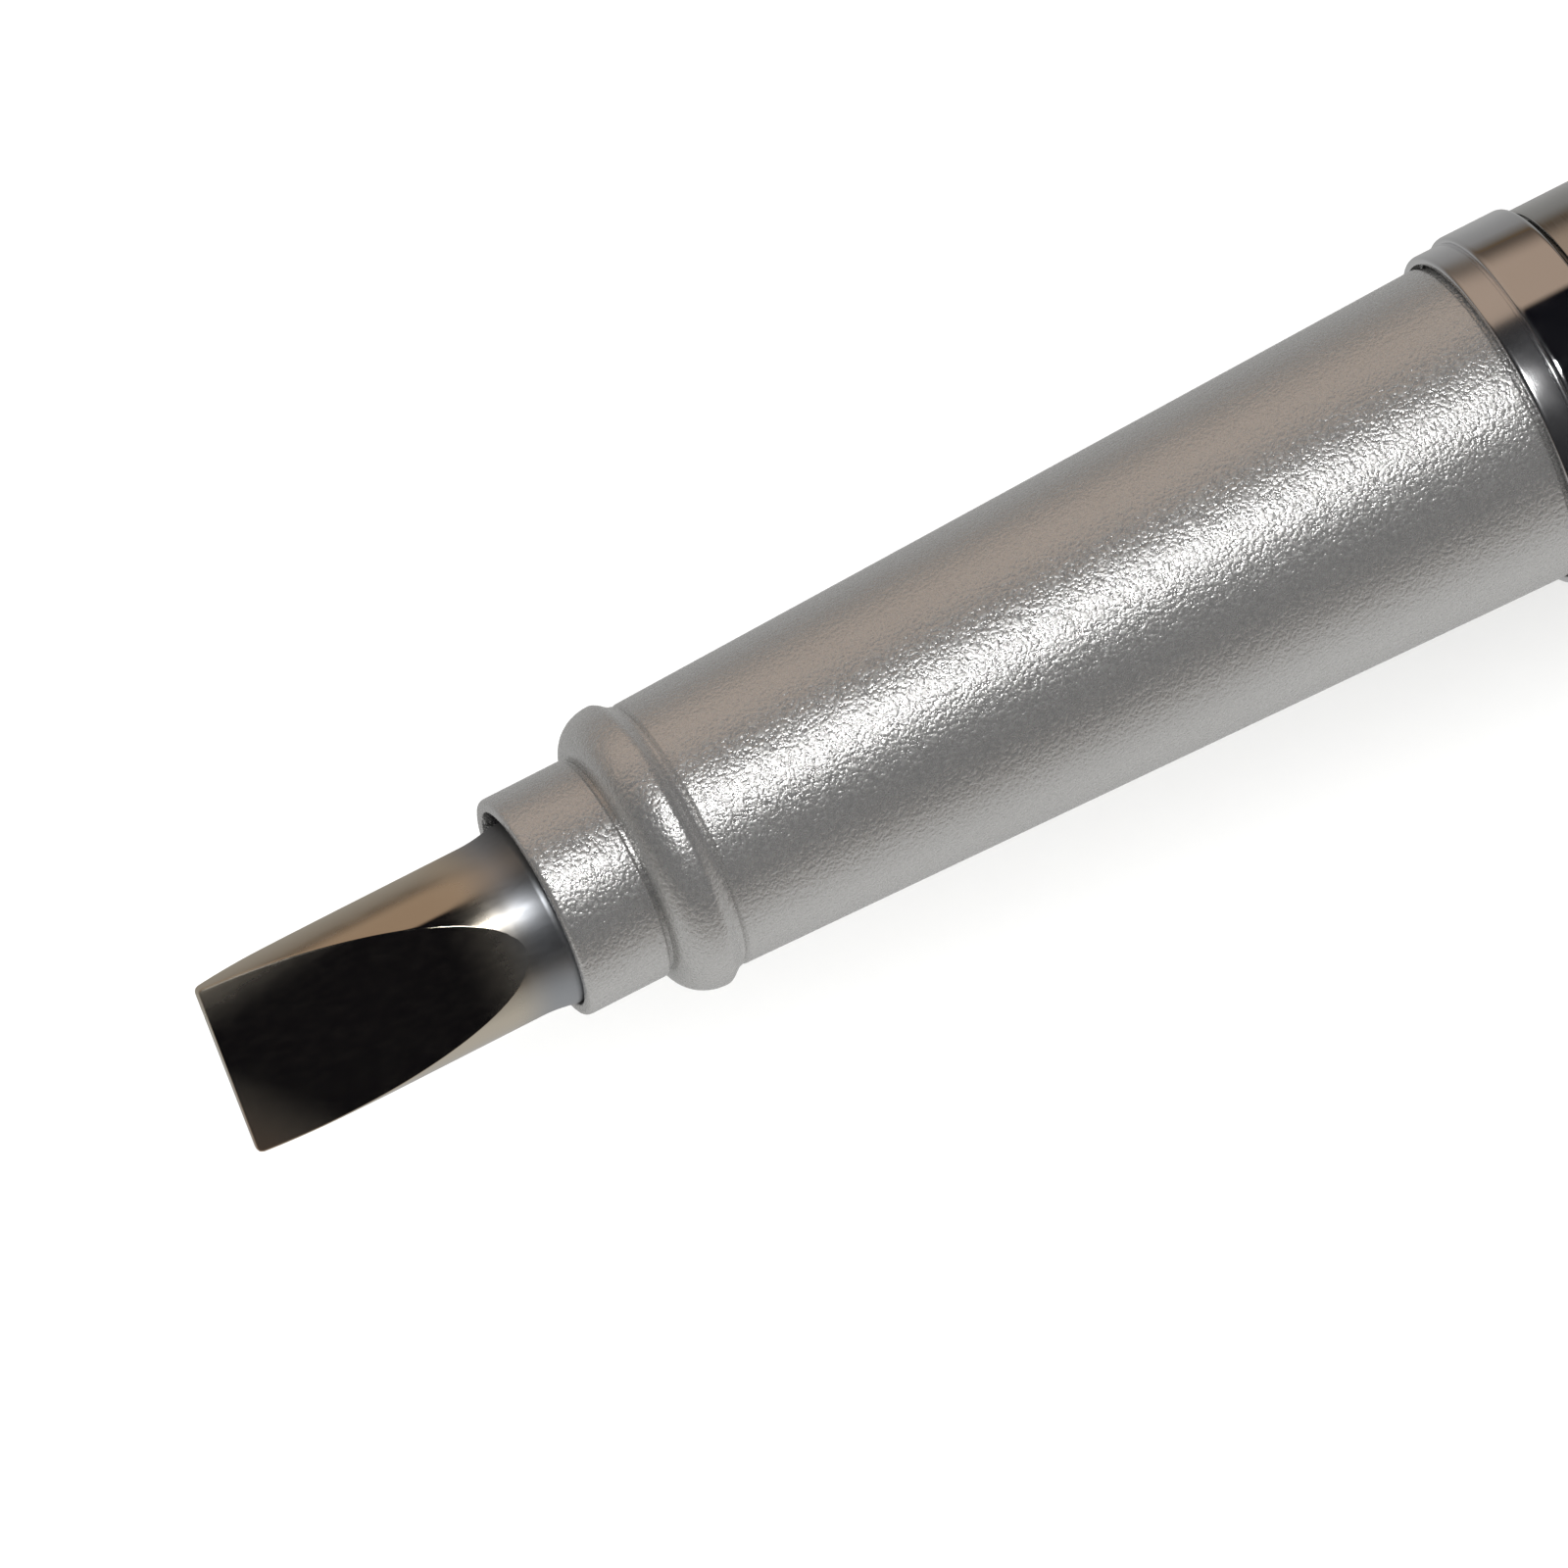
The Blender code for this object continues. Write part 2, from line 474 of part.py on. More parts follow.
def make_electronics():
    bottom = BOARD_TOP - BOARD_THICKNESS
    rest = BOARD_TOP + 0.2
    board_low = (along(BOARD_FRONT), -BOARD_HALF_WIDTH, bottom)
    board_high = (along(BOARD_REAR), BOARD_HALF_WIDTH, BOARD_TOP)
    place("circuit_board", block_shape(board_low, board_high), board_laminate)
    dial = (along(DIAL_STATION), 0.0, AXIS_HEIGHT)
    pot = spun([(0.0, 1.7), (2.2, 1.7), (2.2, 7.6), (3.0, 7.6), (3.0, 3.6), (5.5, 3.6), (5.5, rest), (0.0, rest)],
               closed=False, steps=28, upright=True)
    bmesh.ops.translate(pot, verts=pot.verts, vec=(dial[0], 0, 0))
    place("potentiometer", pot, pot_body)
    shaft = spun([(0.0, 2.0), (2.0, 2.0), (2.0, 17.0), (0.0, 17.0)], closed=False, steps=24, upright=True)
    bmesh.ops.translate(shaft, verts=shaft.verts, vec=(dial[0], 0, 0))
    place("dial_shaft", shaft, turned_steel, origin=dial)
    knob = spun([(0.0, 17.2), (2.15, 17.2), (2.15, 13.6), (7.6, 13.6), (DIAL_RADIUS, 14.0), (DIAL_RADIUS, 17.6),
                 (7.2, 18.4), (0.0, 18.4)], closed=False, steps=40, upright=True)
    bmesh.ops.translate(knob, verts=knob.verts, vec=(dial[0], 0, 0))
    temperature_dial = place("temperature_dial", knob, dial_plastic, origin=dial)
    for index in range(FLUTE_COUNT):
        angle = math.tau * index / FLUTE_COUNT
        foot = Vector((dial[0] + 8.3 * math.cos(angle), 8.3 * math.sin(angle), 13.0))
        cut(temperature_dial, f"dial_flute_{index + 1}", rod_shape(foot, foot + Vector((0, 0, 7)), 0.9, 8))
    place("triac", block_shape((along(181), -5, rest), (along(185.5), 5, 8)), black_epoxy)
    place("film_capacitor", block_shape((along(201), -6.5, rest), (along(207), 6.5, 7)), capacitor_resin)
    place("control_chip", block_shape((along(190), -2.5, bottom - 1.7), (along(195), 2.5, bottom - 0.2)), black_epoxy)
    place("terminal_block", block_shape((along(211.2), -5, rest), (along(215.4), 5, 5.5)), terminal_green)
    resistor = rod_shape((along(209.1), -4.5, -0.9), (along(209.1), 4.5, -0.9), 1.4, 16)
    place("power_resistor", resistor, resistor_coat)
    lamp = spun([(0, rest), (1.8, rest), (1.8, -1.6), (1.5, -1.6), (1.5, 1.2), (0.9, 2.1), (0, 2.4)],
                closed=False, steps=20, upright=True)
    bmesh.ops.translate(lamp, verts=lamp.verts, vec=(along(LAMP_STATION), 0, 0))
    place("indicator_lamp", lamp, lamp_red)
    pipe = spun([(0, 2.8), (1.7, 2.8), (1.7, 14.7), (1.1, 15.2), (0, 15.4)], closed=False, steps=20, upright=True)
    bmesh.ops.translate(pipe, verts=pipe.verts, vec=(along(LAMP_STATION), 0, 0))
    place("light_pipe", pipe, clear_acrylic)


for item in list(bpy.data.objects):
    bpy.data.objects.remove(item, do_unlink=True)

make_tip()
make_sleeve()
make_nut()
make_barrel()
make_heater()
make_leads()
make_clamp()
make_guard()
make_grip()
make_handle()
make_shell_screws()
make_cap()
make_electronics()
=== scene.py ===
import math

import bmesh
import bpy
from mathutils import Matrix, Vector


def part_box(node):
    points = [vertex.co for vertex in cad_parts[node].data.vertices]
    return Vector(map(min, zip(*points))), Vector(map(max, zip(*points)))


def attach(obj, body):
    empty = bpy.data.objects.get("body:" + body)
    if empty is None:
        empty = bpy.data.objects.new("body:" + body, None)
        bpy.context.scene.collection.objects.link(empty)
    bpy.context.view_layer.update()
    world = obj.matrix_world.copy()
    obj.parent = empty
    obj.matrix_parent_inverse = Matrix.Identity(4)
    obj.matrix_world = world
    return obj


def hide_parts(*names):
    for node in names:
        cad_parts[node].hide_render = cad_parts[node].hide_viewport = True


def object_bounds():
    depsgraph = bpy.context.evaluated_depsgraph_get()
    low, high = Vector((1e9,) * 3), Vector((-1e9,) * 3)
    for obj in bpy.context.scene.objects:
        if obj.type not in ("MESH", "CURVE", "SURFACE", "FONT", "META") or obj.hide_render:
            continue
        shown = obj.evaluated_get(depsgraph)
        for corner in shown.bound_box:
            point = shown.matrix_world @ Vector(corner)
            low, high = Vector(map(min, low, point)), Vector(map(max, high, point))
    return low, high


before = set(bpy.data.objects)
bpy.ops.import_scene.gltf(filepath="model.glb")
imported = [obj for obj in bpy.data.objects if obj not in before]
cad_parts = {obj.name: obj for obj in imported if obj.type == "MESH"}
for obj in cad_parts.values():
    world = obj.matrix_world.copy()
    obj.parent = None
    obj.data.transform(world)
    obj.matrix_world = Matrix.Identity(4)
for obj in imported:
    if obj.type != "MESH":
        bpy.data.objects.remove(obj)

cadLow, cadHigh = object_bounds()
mm = 0.001
tubeLow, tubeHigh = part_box("barrel_tube")
axisZ = (tubeLow.z + tubeHigh.z) / 2        # the iron's axis runs along X at this height
restLevel = (cadLow.z - axisZ) / mm         # the flats it lies on, in mm from the axis


def alongX(station):        # a station is a distance in mm back from the tip's end
    return cadLow.x + station * mm


def across(turn):           # a direction square to the axis, turned from +Z towards -Y
    angle = math.radians(turn)
    return Vector((0.0, -math.sin(angle), math.cos(angle)))


def shade(tone, factor=1.0):
    return (*[value * factor for value in tone], 1.0)


class Wire:     # one output socket; sums on it add Math nodes
    def __init__(self, tree, socket):
        self.tree = tree
        self.socket = socket

    def sum(self, operation, first, second):
        node = self.tree.nodes.new("ShaderNodeMath")
        node.operation = operation
        for entry, value in zip(node.inputs, (first, second)):
            if isinstance(value, Wire):
                self.tree.links.new(value.socket, entry)
            else:
                entry.default_value = value
        return Wire(self.tree, node.outputs[0])

    def __add__(self, other):
        return self.sum("ADD", self, other)

    def __radd__(self, other):
        return self.sum("ADD", other, self)

    def __sub__(self, other):
        return self.sum("SUBTRACT", self, other)

    def __rsub__(self, other):
        return self.sum("SUBTRACT", other, self)

    def __mul__(self, other):
        return self.sum("MULTIPLY", self, other)

    def __rmul__(self, other):
        return self.sum("MULTIPLY", other, self)


class Graph:    # a node tree that add() fills
    def __init__(self, tree):
        self.tree = tree

    def add(self, kind, settings=None, sockets=None, out=0):
        node = self.tree.nodes.new(kind)
        for name, value in (settings or {}).items():
            if name == "stops":
                ramp = node.color_ramp.elements
                while len(ramp) < len(value):
                    ramp.new(1.0)
                for stop, (position, color) in zip(ramp, value):
                    stop.position = position
                    stop.color = color
            else:
                setattr(node, name, value)
        for name, value in (sockets or {}).items():
            entry = node.inputs[name]
            if isinstance(value, Wire):
                self.tree.links.new(value.socket, entry)
            else:
                entry.default_value = value
        return Wire(self.tree, node.outputs[out])

    def blend(self, factor, first, second):
        return self.add("ShaderNodeMix", {"data_type": "RGBA"}, {0: factor, 6: first, 7: second}, out=2)

    def ease(self, value, low, high, start=0.0, stop=1.0):
        sockets = {"Value": value, "From Min": low, "From Max": high, "To Min": start, "To Max": stop}
        return self.add("ShaderNodeMapRange", {"interpolation_type": "SMOOTHSTEP"}, sockets)

    def part(self, vector, axis):       # one of a vector's three numbers
        return self.add("ShaderNodeSeparateXYZ", {}, {0: vector}, out=axis)

    def stretch(self, vector, scale):
        return self.add("ShaderNodeVectorMath", {"operation": "MULTIPLY"}, {0: vector, 1: scale})


class Finish(Graph):    # a material: even socket values first, then what varies
    def __init__(self, name, **even):
        self.material = bpy.data.materials.new(name)
        self.material.use_nodes = True
        super().__init__(self.material.node_tree)
        self.shader = self.tree.nodes["Principled BSDF"]
        for key, value in even.items():
            socket = key.replace("_", " ").title().replace("Ior", "IOR")
            self.shader.inputs[socket].default_value = (*value, 1.0) if isinstance(value, tuple) else value
        self.where = self.add("ShaderNodeTexCoord", out=3)

    def noise(self, scale, detail=3.0, roughness=0.55, squash=None):
        where = self.stretch(self.where, squash) if squash else self.where
        sockets = {"Vector": where, "Scale": scale, "Detail": detail, "Roughness": roughness}
        return self.add("ShaderNodeTexNoise", {}, sockets)

    def cells(self, scale, out=0):
        return self.add("ShaderNodeTexVoronoi", {}, {"Vector": self.where, "Scale": scale}, out)

    def vary(self, socket, value):
        self.tree.links.new(value.socket, self.shader.inputs[socket])

    def mottle(self, tone, spread, scale):      # slow changes of tone over the surface
        darker = shade(tone, 1 - spread)
        lighter = shade(tone, 1 + spread)
        self.vary("Base Color", self.blend(self.noise(scale), darker, lighter))

    def polish(self, scale, low, high):         # slow changes of roughness
        self.vary("Roughness", self.ease(self.noise(scale), 0.3, 0.7, low, high))

    def relief(self, height, strength, depth):
        self.vary("Normal", self.add("ShaderNodeBump", {}, {"Height": height, "Strength": strength,
                                                            "Distance": depth}))


def softened(corners, closed=True, detail=5):
    # corners are (station, radius, rounding); a rounded corner becomes a short curve
    points = []
    count = len(corners)
    for index, corner in enumerate(corners):
        here = Vector(corner[:2])
        rounding = corner[2] if len(corner) > 2 else 0.0
        if rounding <= 0 or (not closed and index in (0, count - 1)):
            points.append(here)
            continue
        before = Vector(corners[index - 1][:2]) - here
        after = Vector(corners[(index + 1) % count][:2]) - here
        start = here + before.normalized() * min(rounding, before.length * 0.49)
        stop = here + after.normalized() * min(rounding, after.length * 0.49)
        for step in range(detail + 1):
            t = step / detail
            points.append(start * (1 - t) ** 2 + here * 2 * t * (1 - t) + stop * t ** 2)
    return points


def asObject(name, shape, material, sharp=40.0):
    bmesh.ops.remove_doubles(shape, verts=shape.verts, dist=2e-7)
    bmesh.ops.recalc_face_normals(shape, faces=shape.faces)
    mesh = bpy.data.meshes.new(name)
    shape.to_mesh(mesh)
    shape.free()
    mesh.shade_smooth()
    mesh.set_sharp_from_angle(angle=math.radians(sharp))
    if material:
        mesh.materials.append(material)
    piece = bpy.data.objects.new(name, mesh)
    piece.location = (0, 0, axisZ)      # shapes are drawn about the iron's axis
    bpy.context.scene.collection.objects.link(piece)
    return piece


def ringSurface(rings, closedTube, capStart=False, capEnd=False, shape=None):
    # rings are equal lists of points; neighbours are joined by quads
    shape = shape or bmesh.new()
    rows = [[shape.verts.new(point) for point in ring] for ring in rings]
    pairs = list(zip(rows, rows[1:]))
    if closedTube:
        pairs.append((rows[-1], rows[0]))
    for first, second in pairs:
        for index in range(len(first)):
            after = (index + 1) % len(first)
            shape.faces.new((first[index], first[after], second[after], second[index]))
    if capStart:
        shape.faces.new(reversed(rows[0]))
    if capEnd:
        shape.faces.new(rows[-1])
    return shape


def turnedPoint(station, radius, angle, swell=None, flatBelow=None):
    reach = radius + (swell(station, radius, angle) if swell else 0.0)
    height = reach * math.cos(angle)
    if flatBelow is not None:
        height = max(height, flatBelow)
    return Vector((alongX(station), reach * math.sin(angle) * mm, height * mm))


def lathe(name, corners, material, sides=144, closed=True, swell=None, flatBelow=None, sharp=40.0, detail=5):
    outline = softened(corners, closed, detail)
    rings = []
    for station, radius in outline:
        rings.append([turnedPoint(station, radius, math.tau * index / sides, swell, flatBelow)
                      for index in range(sides)])
    return asObject(name, ringSurface(rings, closed, not closed, not closed), material, sharp)


def standingRings(outline, sides, centre, turn=Matrix.Identity(3), swell=None):
    # rings of (radius, height) points about a line through centre; turn lays that line over
    rings = []
    for radius, height in outline:
        ring = []
        for index in range(sides):
            angle = math.tau * index / sides
            reach = max(radius, 0.001) + (swell(angle, radius, height) if swell else 0.0)
            point = Vector((reach * math.cos(angle), reach * math.sin(angle), height)) * mm
            ring.append(centre + turn @ point)
        rings.append(ring)
    return rings


def carve(piece, cutter):
    # cuts one shape out of another for good, and removes the cutter
    change = piece.modifiers.new("carve", "BOOLEAN")
    change.operation = "DIFFERENCE"
    change.object = cutter
    change.solver = "EXACT"
    graph = bpy.context.evaluated_depsgraph_get()
    mesh = bpy.data.meshes.new_from_object(piece.evaluated_get(graph), depsgraph=graph)
    piece.modifiers.clear()
    piece.data = mesh
    bpy.data.objects.remove(cutter)
    mesh.set_sharp_from_angle(angle=math.radians(35))


def evenOut(piece):
    even = piece.modifiers.new("evenNormals", "WEIGHTED_NORMAL")
    even.keep_sharp = True
    return piece


def finished(piece, body, nodes):
    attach(piece, body)
    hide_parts(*nodes)


cameraSet = {"azimuth": -29.0, "elevation": 66.46, "distance": 0.510, "lens": 331.0,
             "lookStation": 22.6, "lookTurn": 111.0, "lookDrop": 0.09}


def makeCamera():
    turn = math.radians(cameraSet["azimuth"])
    rise = math.radians(cameraSet["elevation"])
    back = Vector((math.sin(turn) * math.cos(rise), -math.cos(turn) * math.cos(rise), math.sin(rise)))
    target = Vector((alongX(cameraSet["lookStation"]), 0, axisZ))
    target += across(cameraSet["lookTurn"]) * cameraSet["lookDrop"] * mm
    data = bpy.data.cameras.new("camera")
    data.sensor_width = 36.0
    data.lens = cameraSet["lens"]
    data.clip_start = 0.01
    data.clip_end = 20.0
    camera = bpy.data.objects.new("camera", data)
    camera.location = target + back * cameraSet["distance"]
    camera.rotation_mode = "QUATERNION"
    camera.rotation_quaternion = (-back).to_track_quat("-Z", "Y")
    bpy.context.scene.collection.objects.link(camera)
    bpy.context.scene.camera = camera
    print("camera set")


stageSet = {"ambient": 1.2, "pale": (1.0, 1.0, 0.995), "warmRoom": (0.388, 0.295, 0.226),
            "darkRoom": (0.004, 0.004, 0.006), "warmFrom": 0.50, "warmTo": 0.58,
            "bench": ((0.03, (0.13, 0.09, 0.055)), (0.10, (0.18, 0.16, 0.14)), (0.24, (0.29, 0.285, 0.28)),
                      (0.45, (0.35, 0.35, 0.345)), (0.70, (0.44, 0.44, 0.435)), (1.0, (0.45, 0.45, 0.445))),
            "keyStation": 35, "keyFrom": (0.01, -0.166, 0.986), "keyDistance": 0.5, "keySize": (0.055, 0.125),
            "keyPower": 0.62, "softFrom": (0.1, -0.3, 1.0), "softDistance": 1.2, "softSize": (1.4, 1.0),
            "softPower": 7.0}


def makeWorld():
    world = bpy.data.worlds.new("studio")
    bpy.context.scene.world = world
    world.use_nodes = True
    graph = Graph(world.node_tree)
    direction = graph.add("ShaderNodeTexCoord", out=0)
    # what the metal mirrors: a warm room behind, a dark one overhead and in front, a pale bench below
    side = graph.part(direction, 1)
    height = graph.part(direction, 2)
    warm = graph.ease(side, stageSet["warmFrom"], stageSet["warmTo"])
    room = graph.blend(warm, shade(stageSet["darkRoom"]), shade(stageSet["warmRoom"]))
    room = graph.add("ShaderNodeVectorMath", {"operation": "SCALE"},
                     {0: room, "Scale": graph.ease(height, 0.0, 0.35, 0.25, 1.0)})
    stops = [(place, shade(tone)) for place, tone in stageSet["bench"]]
    bench = graph.add("ShaderNodeValToRGB", {"stops": stops}, {0: height * -1.0})
    bench = graph.add("ShaderNodeVectorMath", {"operation": "SCALE"},
                      {0: bench, "Scale": graph.ease(side, 0.7, -0.7, 0.85, 1.25)})
    mirrored = graph.blend(graph.ease(height, 0.01, -0.02), room, bench)
    glossy = graph.add("ShaderNodeLightPath", out=3)
    color = graph.blend(glossy, shade(stageSet["pale"], stageSet["ambient"]), mirrored)
    world.node_tree.links.new(color.socket, world.node_tree.nodes["Background"].inputs["Color"])


def makeFloor():
    shape = bmesh.new()
    bmesh.ops.create_grid(shape, x_segments=8, y_segments=8, size=3.0)
    paper = Finish("palePaper", roughness=0.9, specular_ior_level=0.0)
    paper.mottle((0.95, 0.95, 0.945), 0.01, 900.0)
    floor = asObject("floor", shape, paper.material)
    floor.location = (0, 0, cadLow.z - 0.0002)
    floor.visible_glossy = False


def makeLight(name, direction, distance, size, power, target, mirrored=True, lights=True):
    data = bpy.data.lights.new(name, "AREA")
    data.shape = "RECTANGLE"
    data.size, data.size_y = size
    data.energy = power
    direction = Vector(direction).normalized()
    lamp = bpy.data.objects.new(name, data)
    lamp.location = target + direction * distance
    lamp.rotation_mode = "QUATERNION"
    lamp.rotation_quaternion = (-direction).to_track_quat("-Z", "X")
    lamp.visible_camera = False
    lamp.visible_glossy = mirrored
    lamp.visible_diffuse = lights
    bpy.context.scene.collection.objects.link(lamp)


def makeStage():
    bpy.context.scene.view_settings.view_transform = "Standard"
    makeWorld()
    makeFloor()
    front = Vector((alongX(stageSet["keyStation"]), 0, axisZ))
    makeLight("keyLight", stageSet["keyFrom"], stageSet["keyDistance"], stageSet["keySize"],
              stageSet["keyPower"], front, lights=False)
    makeLight("softOverhead", stageSet["softFrom"], stageSet["softDistance"], stageSet["softSize"],
              stageSet["softPower"], Vector((0, 0, 0)), mirrored=False)
    print("stage set")


tipSet = {"shank": 3.3, "flare": 3.46, "flareFront": 11.1, "flareLength": 1.3, "offset": 0.22,
          "offsetTurn": 111.0, "flatTurn": 38.0, "slope": 15.6, "halfEdge": 0.2, "edgeRound": 0.07,
          "cornerRound": 0.2, "narrowing": 0.1, "narrowFor": 6, "skew": 3.0, "skewFor": 5,
          "flatPoints": 28, "sidePoints": 40, "cornerPoints": 5, "tube": 4.4, "bore": 2.75}


def hotPlating(name):
    # polished plating that has been hot: grey, with a brown bloom at the working end, and painted shade where
    # it enters the sleeve
    plate = Finish(name, metallic=1.0)
    reach = plate.part(plate.where, 0) * 1000.0 - alongX(0) * 1000.0
    side = plate.part(plate.where, 1) * 1000.0
    bloom = plate.ease(reach + side * 1.1 + 3.2 + plate.noise(260.0, 4.0) * 2.4, 0.4, 4.6, 0.95, 0.0)
    temper = plate.ease(reach, 9.8, 11.8)
    grey = plate.blend(temper, shade((0.69, 0.62, 0.51)), shade((0.45, 0.465, 0.49)))
    # painted shade: darker where the tip enters the sleeve's mouth, standing in for the collar's shadow on
    # the shank
    paintedMouthShade = plate.ease(reach, 11.2, 12.5, 0.0, 0.75) * plate.ease(side, -2.0, 0.3)
    grey = plate.blend(paintedMouthShade, grey, shade((0.17, 0.18, 0.19)))
    plate.vary("Base Color", plate.blend(bloom, grey, shade((0.36, 0.22, 0.14))))
    plate.vary("Metallic", 1.0 - bloom * 0.1)
    scuff = plate.noise(5200.0, 3.0, squash=(0.25, 1.0, 1.0))
    dull = plate.ease(reach, 8.5, 11.6, 0.0, 0.33) + plate.ease(side, 0.6, 2.4, 0.0, 0.4)
    plate.vary("Roughness", plate.ease(scuff, 0.35, 0.75, 0.05, 0.1) + dull)
    plate.relief(scuff, 0.02, 0.00001)
    return plate.material


def chiselSection(halfThick, halfWide, rounding):
    # one slice of the chisel: two flats, two round sides and four small rounded corners
    half = min(halfThick, halfWide)
    rounding = min(rounding, half * 0.9)
    inner = half - rounding
    reach = math.sqrt(max(0.0, (halfWide - rounding) ** 2 - inner ** 2))
    cornerAngle = math.atan2(inner, reach)
    quarter = []
    for step in range(tipSet["flatPoints"] + 1):
        quarter.append((reach * step / tipSet["flatPoints"], half))
    for step in range(1, tipSet["cornerPoints"] + 1):
        angle = math.pi / 2 + (cornerAngle - math.pi / 2) * step / tipSet["cornerPoints"]
        quarter.append((reach + rounding * math.cos(angle), inner + rounding * math.sin(angle)))
    for step in range(1, tipSet["sidePoints"] + 1):
        angle = cornerAngle * (1 - step / tipSet["sidePoints"])
        quarter.append((halfWide * math.cos(angle), halfWide * math.sin(angle)))
    points = list(quarter)
    points += [(wide, -high) for wide, high in reversed(quarter[:-1])]
    points += [(-wide, -high) for wide, high in quarter[1:]]
    points += [(-wide, high) for wide, high in reversed(quarter[1:-1])]
    return points


def chiselStations(flatEnd):
    stations = []
    for step in range(6):           # close together over the rounded working edge
        stations.append(tipSet["edgeRound"] * (1 - math.cos(math.pi / 2 * step / 5)))
    gap = 0.12
    while stations[-1] + gap < flatEnd - 0.2:
        stations.append(stations[-1] + gap)
        gap = min(0.3, gap * 1.15)
    return stations + [flatEnd - 0.12, flatEnd - 0.03, flatEnd]


def makeTip():
    slope = math.tan(math.radians(tipSet["slope"]))
    lean = math.tan(math.radians(tipSet["skew"]))
    normal = across(tipSet["flatTurn"])
    wide = across(tipSet["flatTurn"] + 90)
    centre = across(tipSet["offsetTurn"]) * tipSet["offset"]
    shank = tipSet["shank"]
    flatEnd = (shank - tipSet["halfEdge"]) / slope
    rings = []
    for station in chiselStations(flatEnd):
        edge = tipSet["edgeRound"]
        inset = edge - math.sqrt(max(0.0, edge ** 2 - max(0.0, edge - station) ** 2))
        corner = tipSet["cornerRound"]
        narrow = tipSet["narrowing"] * max(0.0, 1 - station / tipSet["narrowFor"]) ** 2
        narrow += corner - math.sqrt(max(0.0, corner ** 2 - max(0.0, corner - station) ** 2))
        section = chiselSection(tipSet["halfEdge"] + station * slope - inset, shank - narrow, 0.1)
        ring = []
        for sideways, level in section:
            # one corner of the working end stands forward of the other
            later = lean * (shank - sideways) * max(0.0, 1 - station / tipSet["skewFor"])
            if abs(level) > 1e-9:
                level = max(-shank, min(shank, level + math.copysign(later * slope, level)))
            point = centre + wide * sideways + normal * level
            ring.append(Vector((alongX(station + later), point.y * mm, point.z * mm)))
        rings.append(ring)
    # behind the flats the same ring of points goes on as a round bar, then as the hidden tube in the sleeve
    angles = [math.atan2(level, sideways) for sideways, level in chiselSection(shank, shank, 0.0)]
    back = [(flatEnd + 0.05, shank, 1)]
    for step in range(1, 13):
        t = step / 12
        back.append((tipSet["flareFront"] + tipSet["flareLength"] * t,
                     shank + (tipSet["flare"] - shank) * t ** 2, 1))
    back += [(16.25, tipSet["flare"], 1), (16.3, 4.1, 0), (16.36, 4.2, 0), (16.6, 4.37, 0),
             (16.75, tipSet["tube"], 0), (52.15, tipSet["tube"], 0), (52.2, 4.45, 0), (52.2, 5.3, 0),
             (52.28, 5.4, 0), (53.0, 5.4, 0), (53.1, 5.3, 0), (53.1, 3.0, 0), (52.9, tipSet["bore"], 0),
             (18.9, tipSet["bore"], 0), (18.3, 0.6, 0)]
    for station, radius, offCentre in back:
        ring = []
        for angle in angles:
            point = centre * offCentre + (wide * math.cos(angle) + normal * math.sin(angle)) * radius
            ring.append(Vector((alongX(station), point.y * mm, point.z * mm)))
        rings.append(ring)
    tip = asObject("chiselTip", ringSurface(rings, False, True, True), hotPlating("hotPlating"), 30.0)
    finished(evenOut(tip), "tip", ["soldering_tip"])
    print("tip made")


sleeveSet = {"collarFront": 12.5, "collar": 4.24, "bore": 3.73, "beadFront": 15.98, "beadCrest": 17.52,
             "bead": 5.5, "coneFront": 18.25, "coneFrontRadius": 5.12, "coneRear": 51.45,
             "coneRearRadius": 6.125, "neck": 6.0, "flangeFront": 52.74, "flange": 6.33, "rear": 53.2,
             "tone": (0.61, 0.602, 0.592), "grain": 7200.0, "drift": 2500.0}


def blastedSteel(name):
    # bead-blasted and sealed: fine pits with small bright facets between them
    steel = Finish(name, metallic=0.84)
    steel.mottle(sleeveSet["tone"], 0.04, 90.0)
    grain = steel.noise(sleeveSet["grain"], 2.5, 0.55)
    drift = steel.noise(sleeveSet["drift"], 2.0, 0.5)
    steel.vary("Roughness", steel.ease(grain, 0.3, 0.7, 0.19, 0.33))
    steel.relief(grain + drift * 0.4, 1.0, 0.000042)
    return steel.material


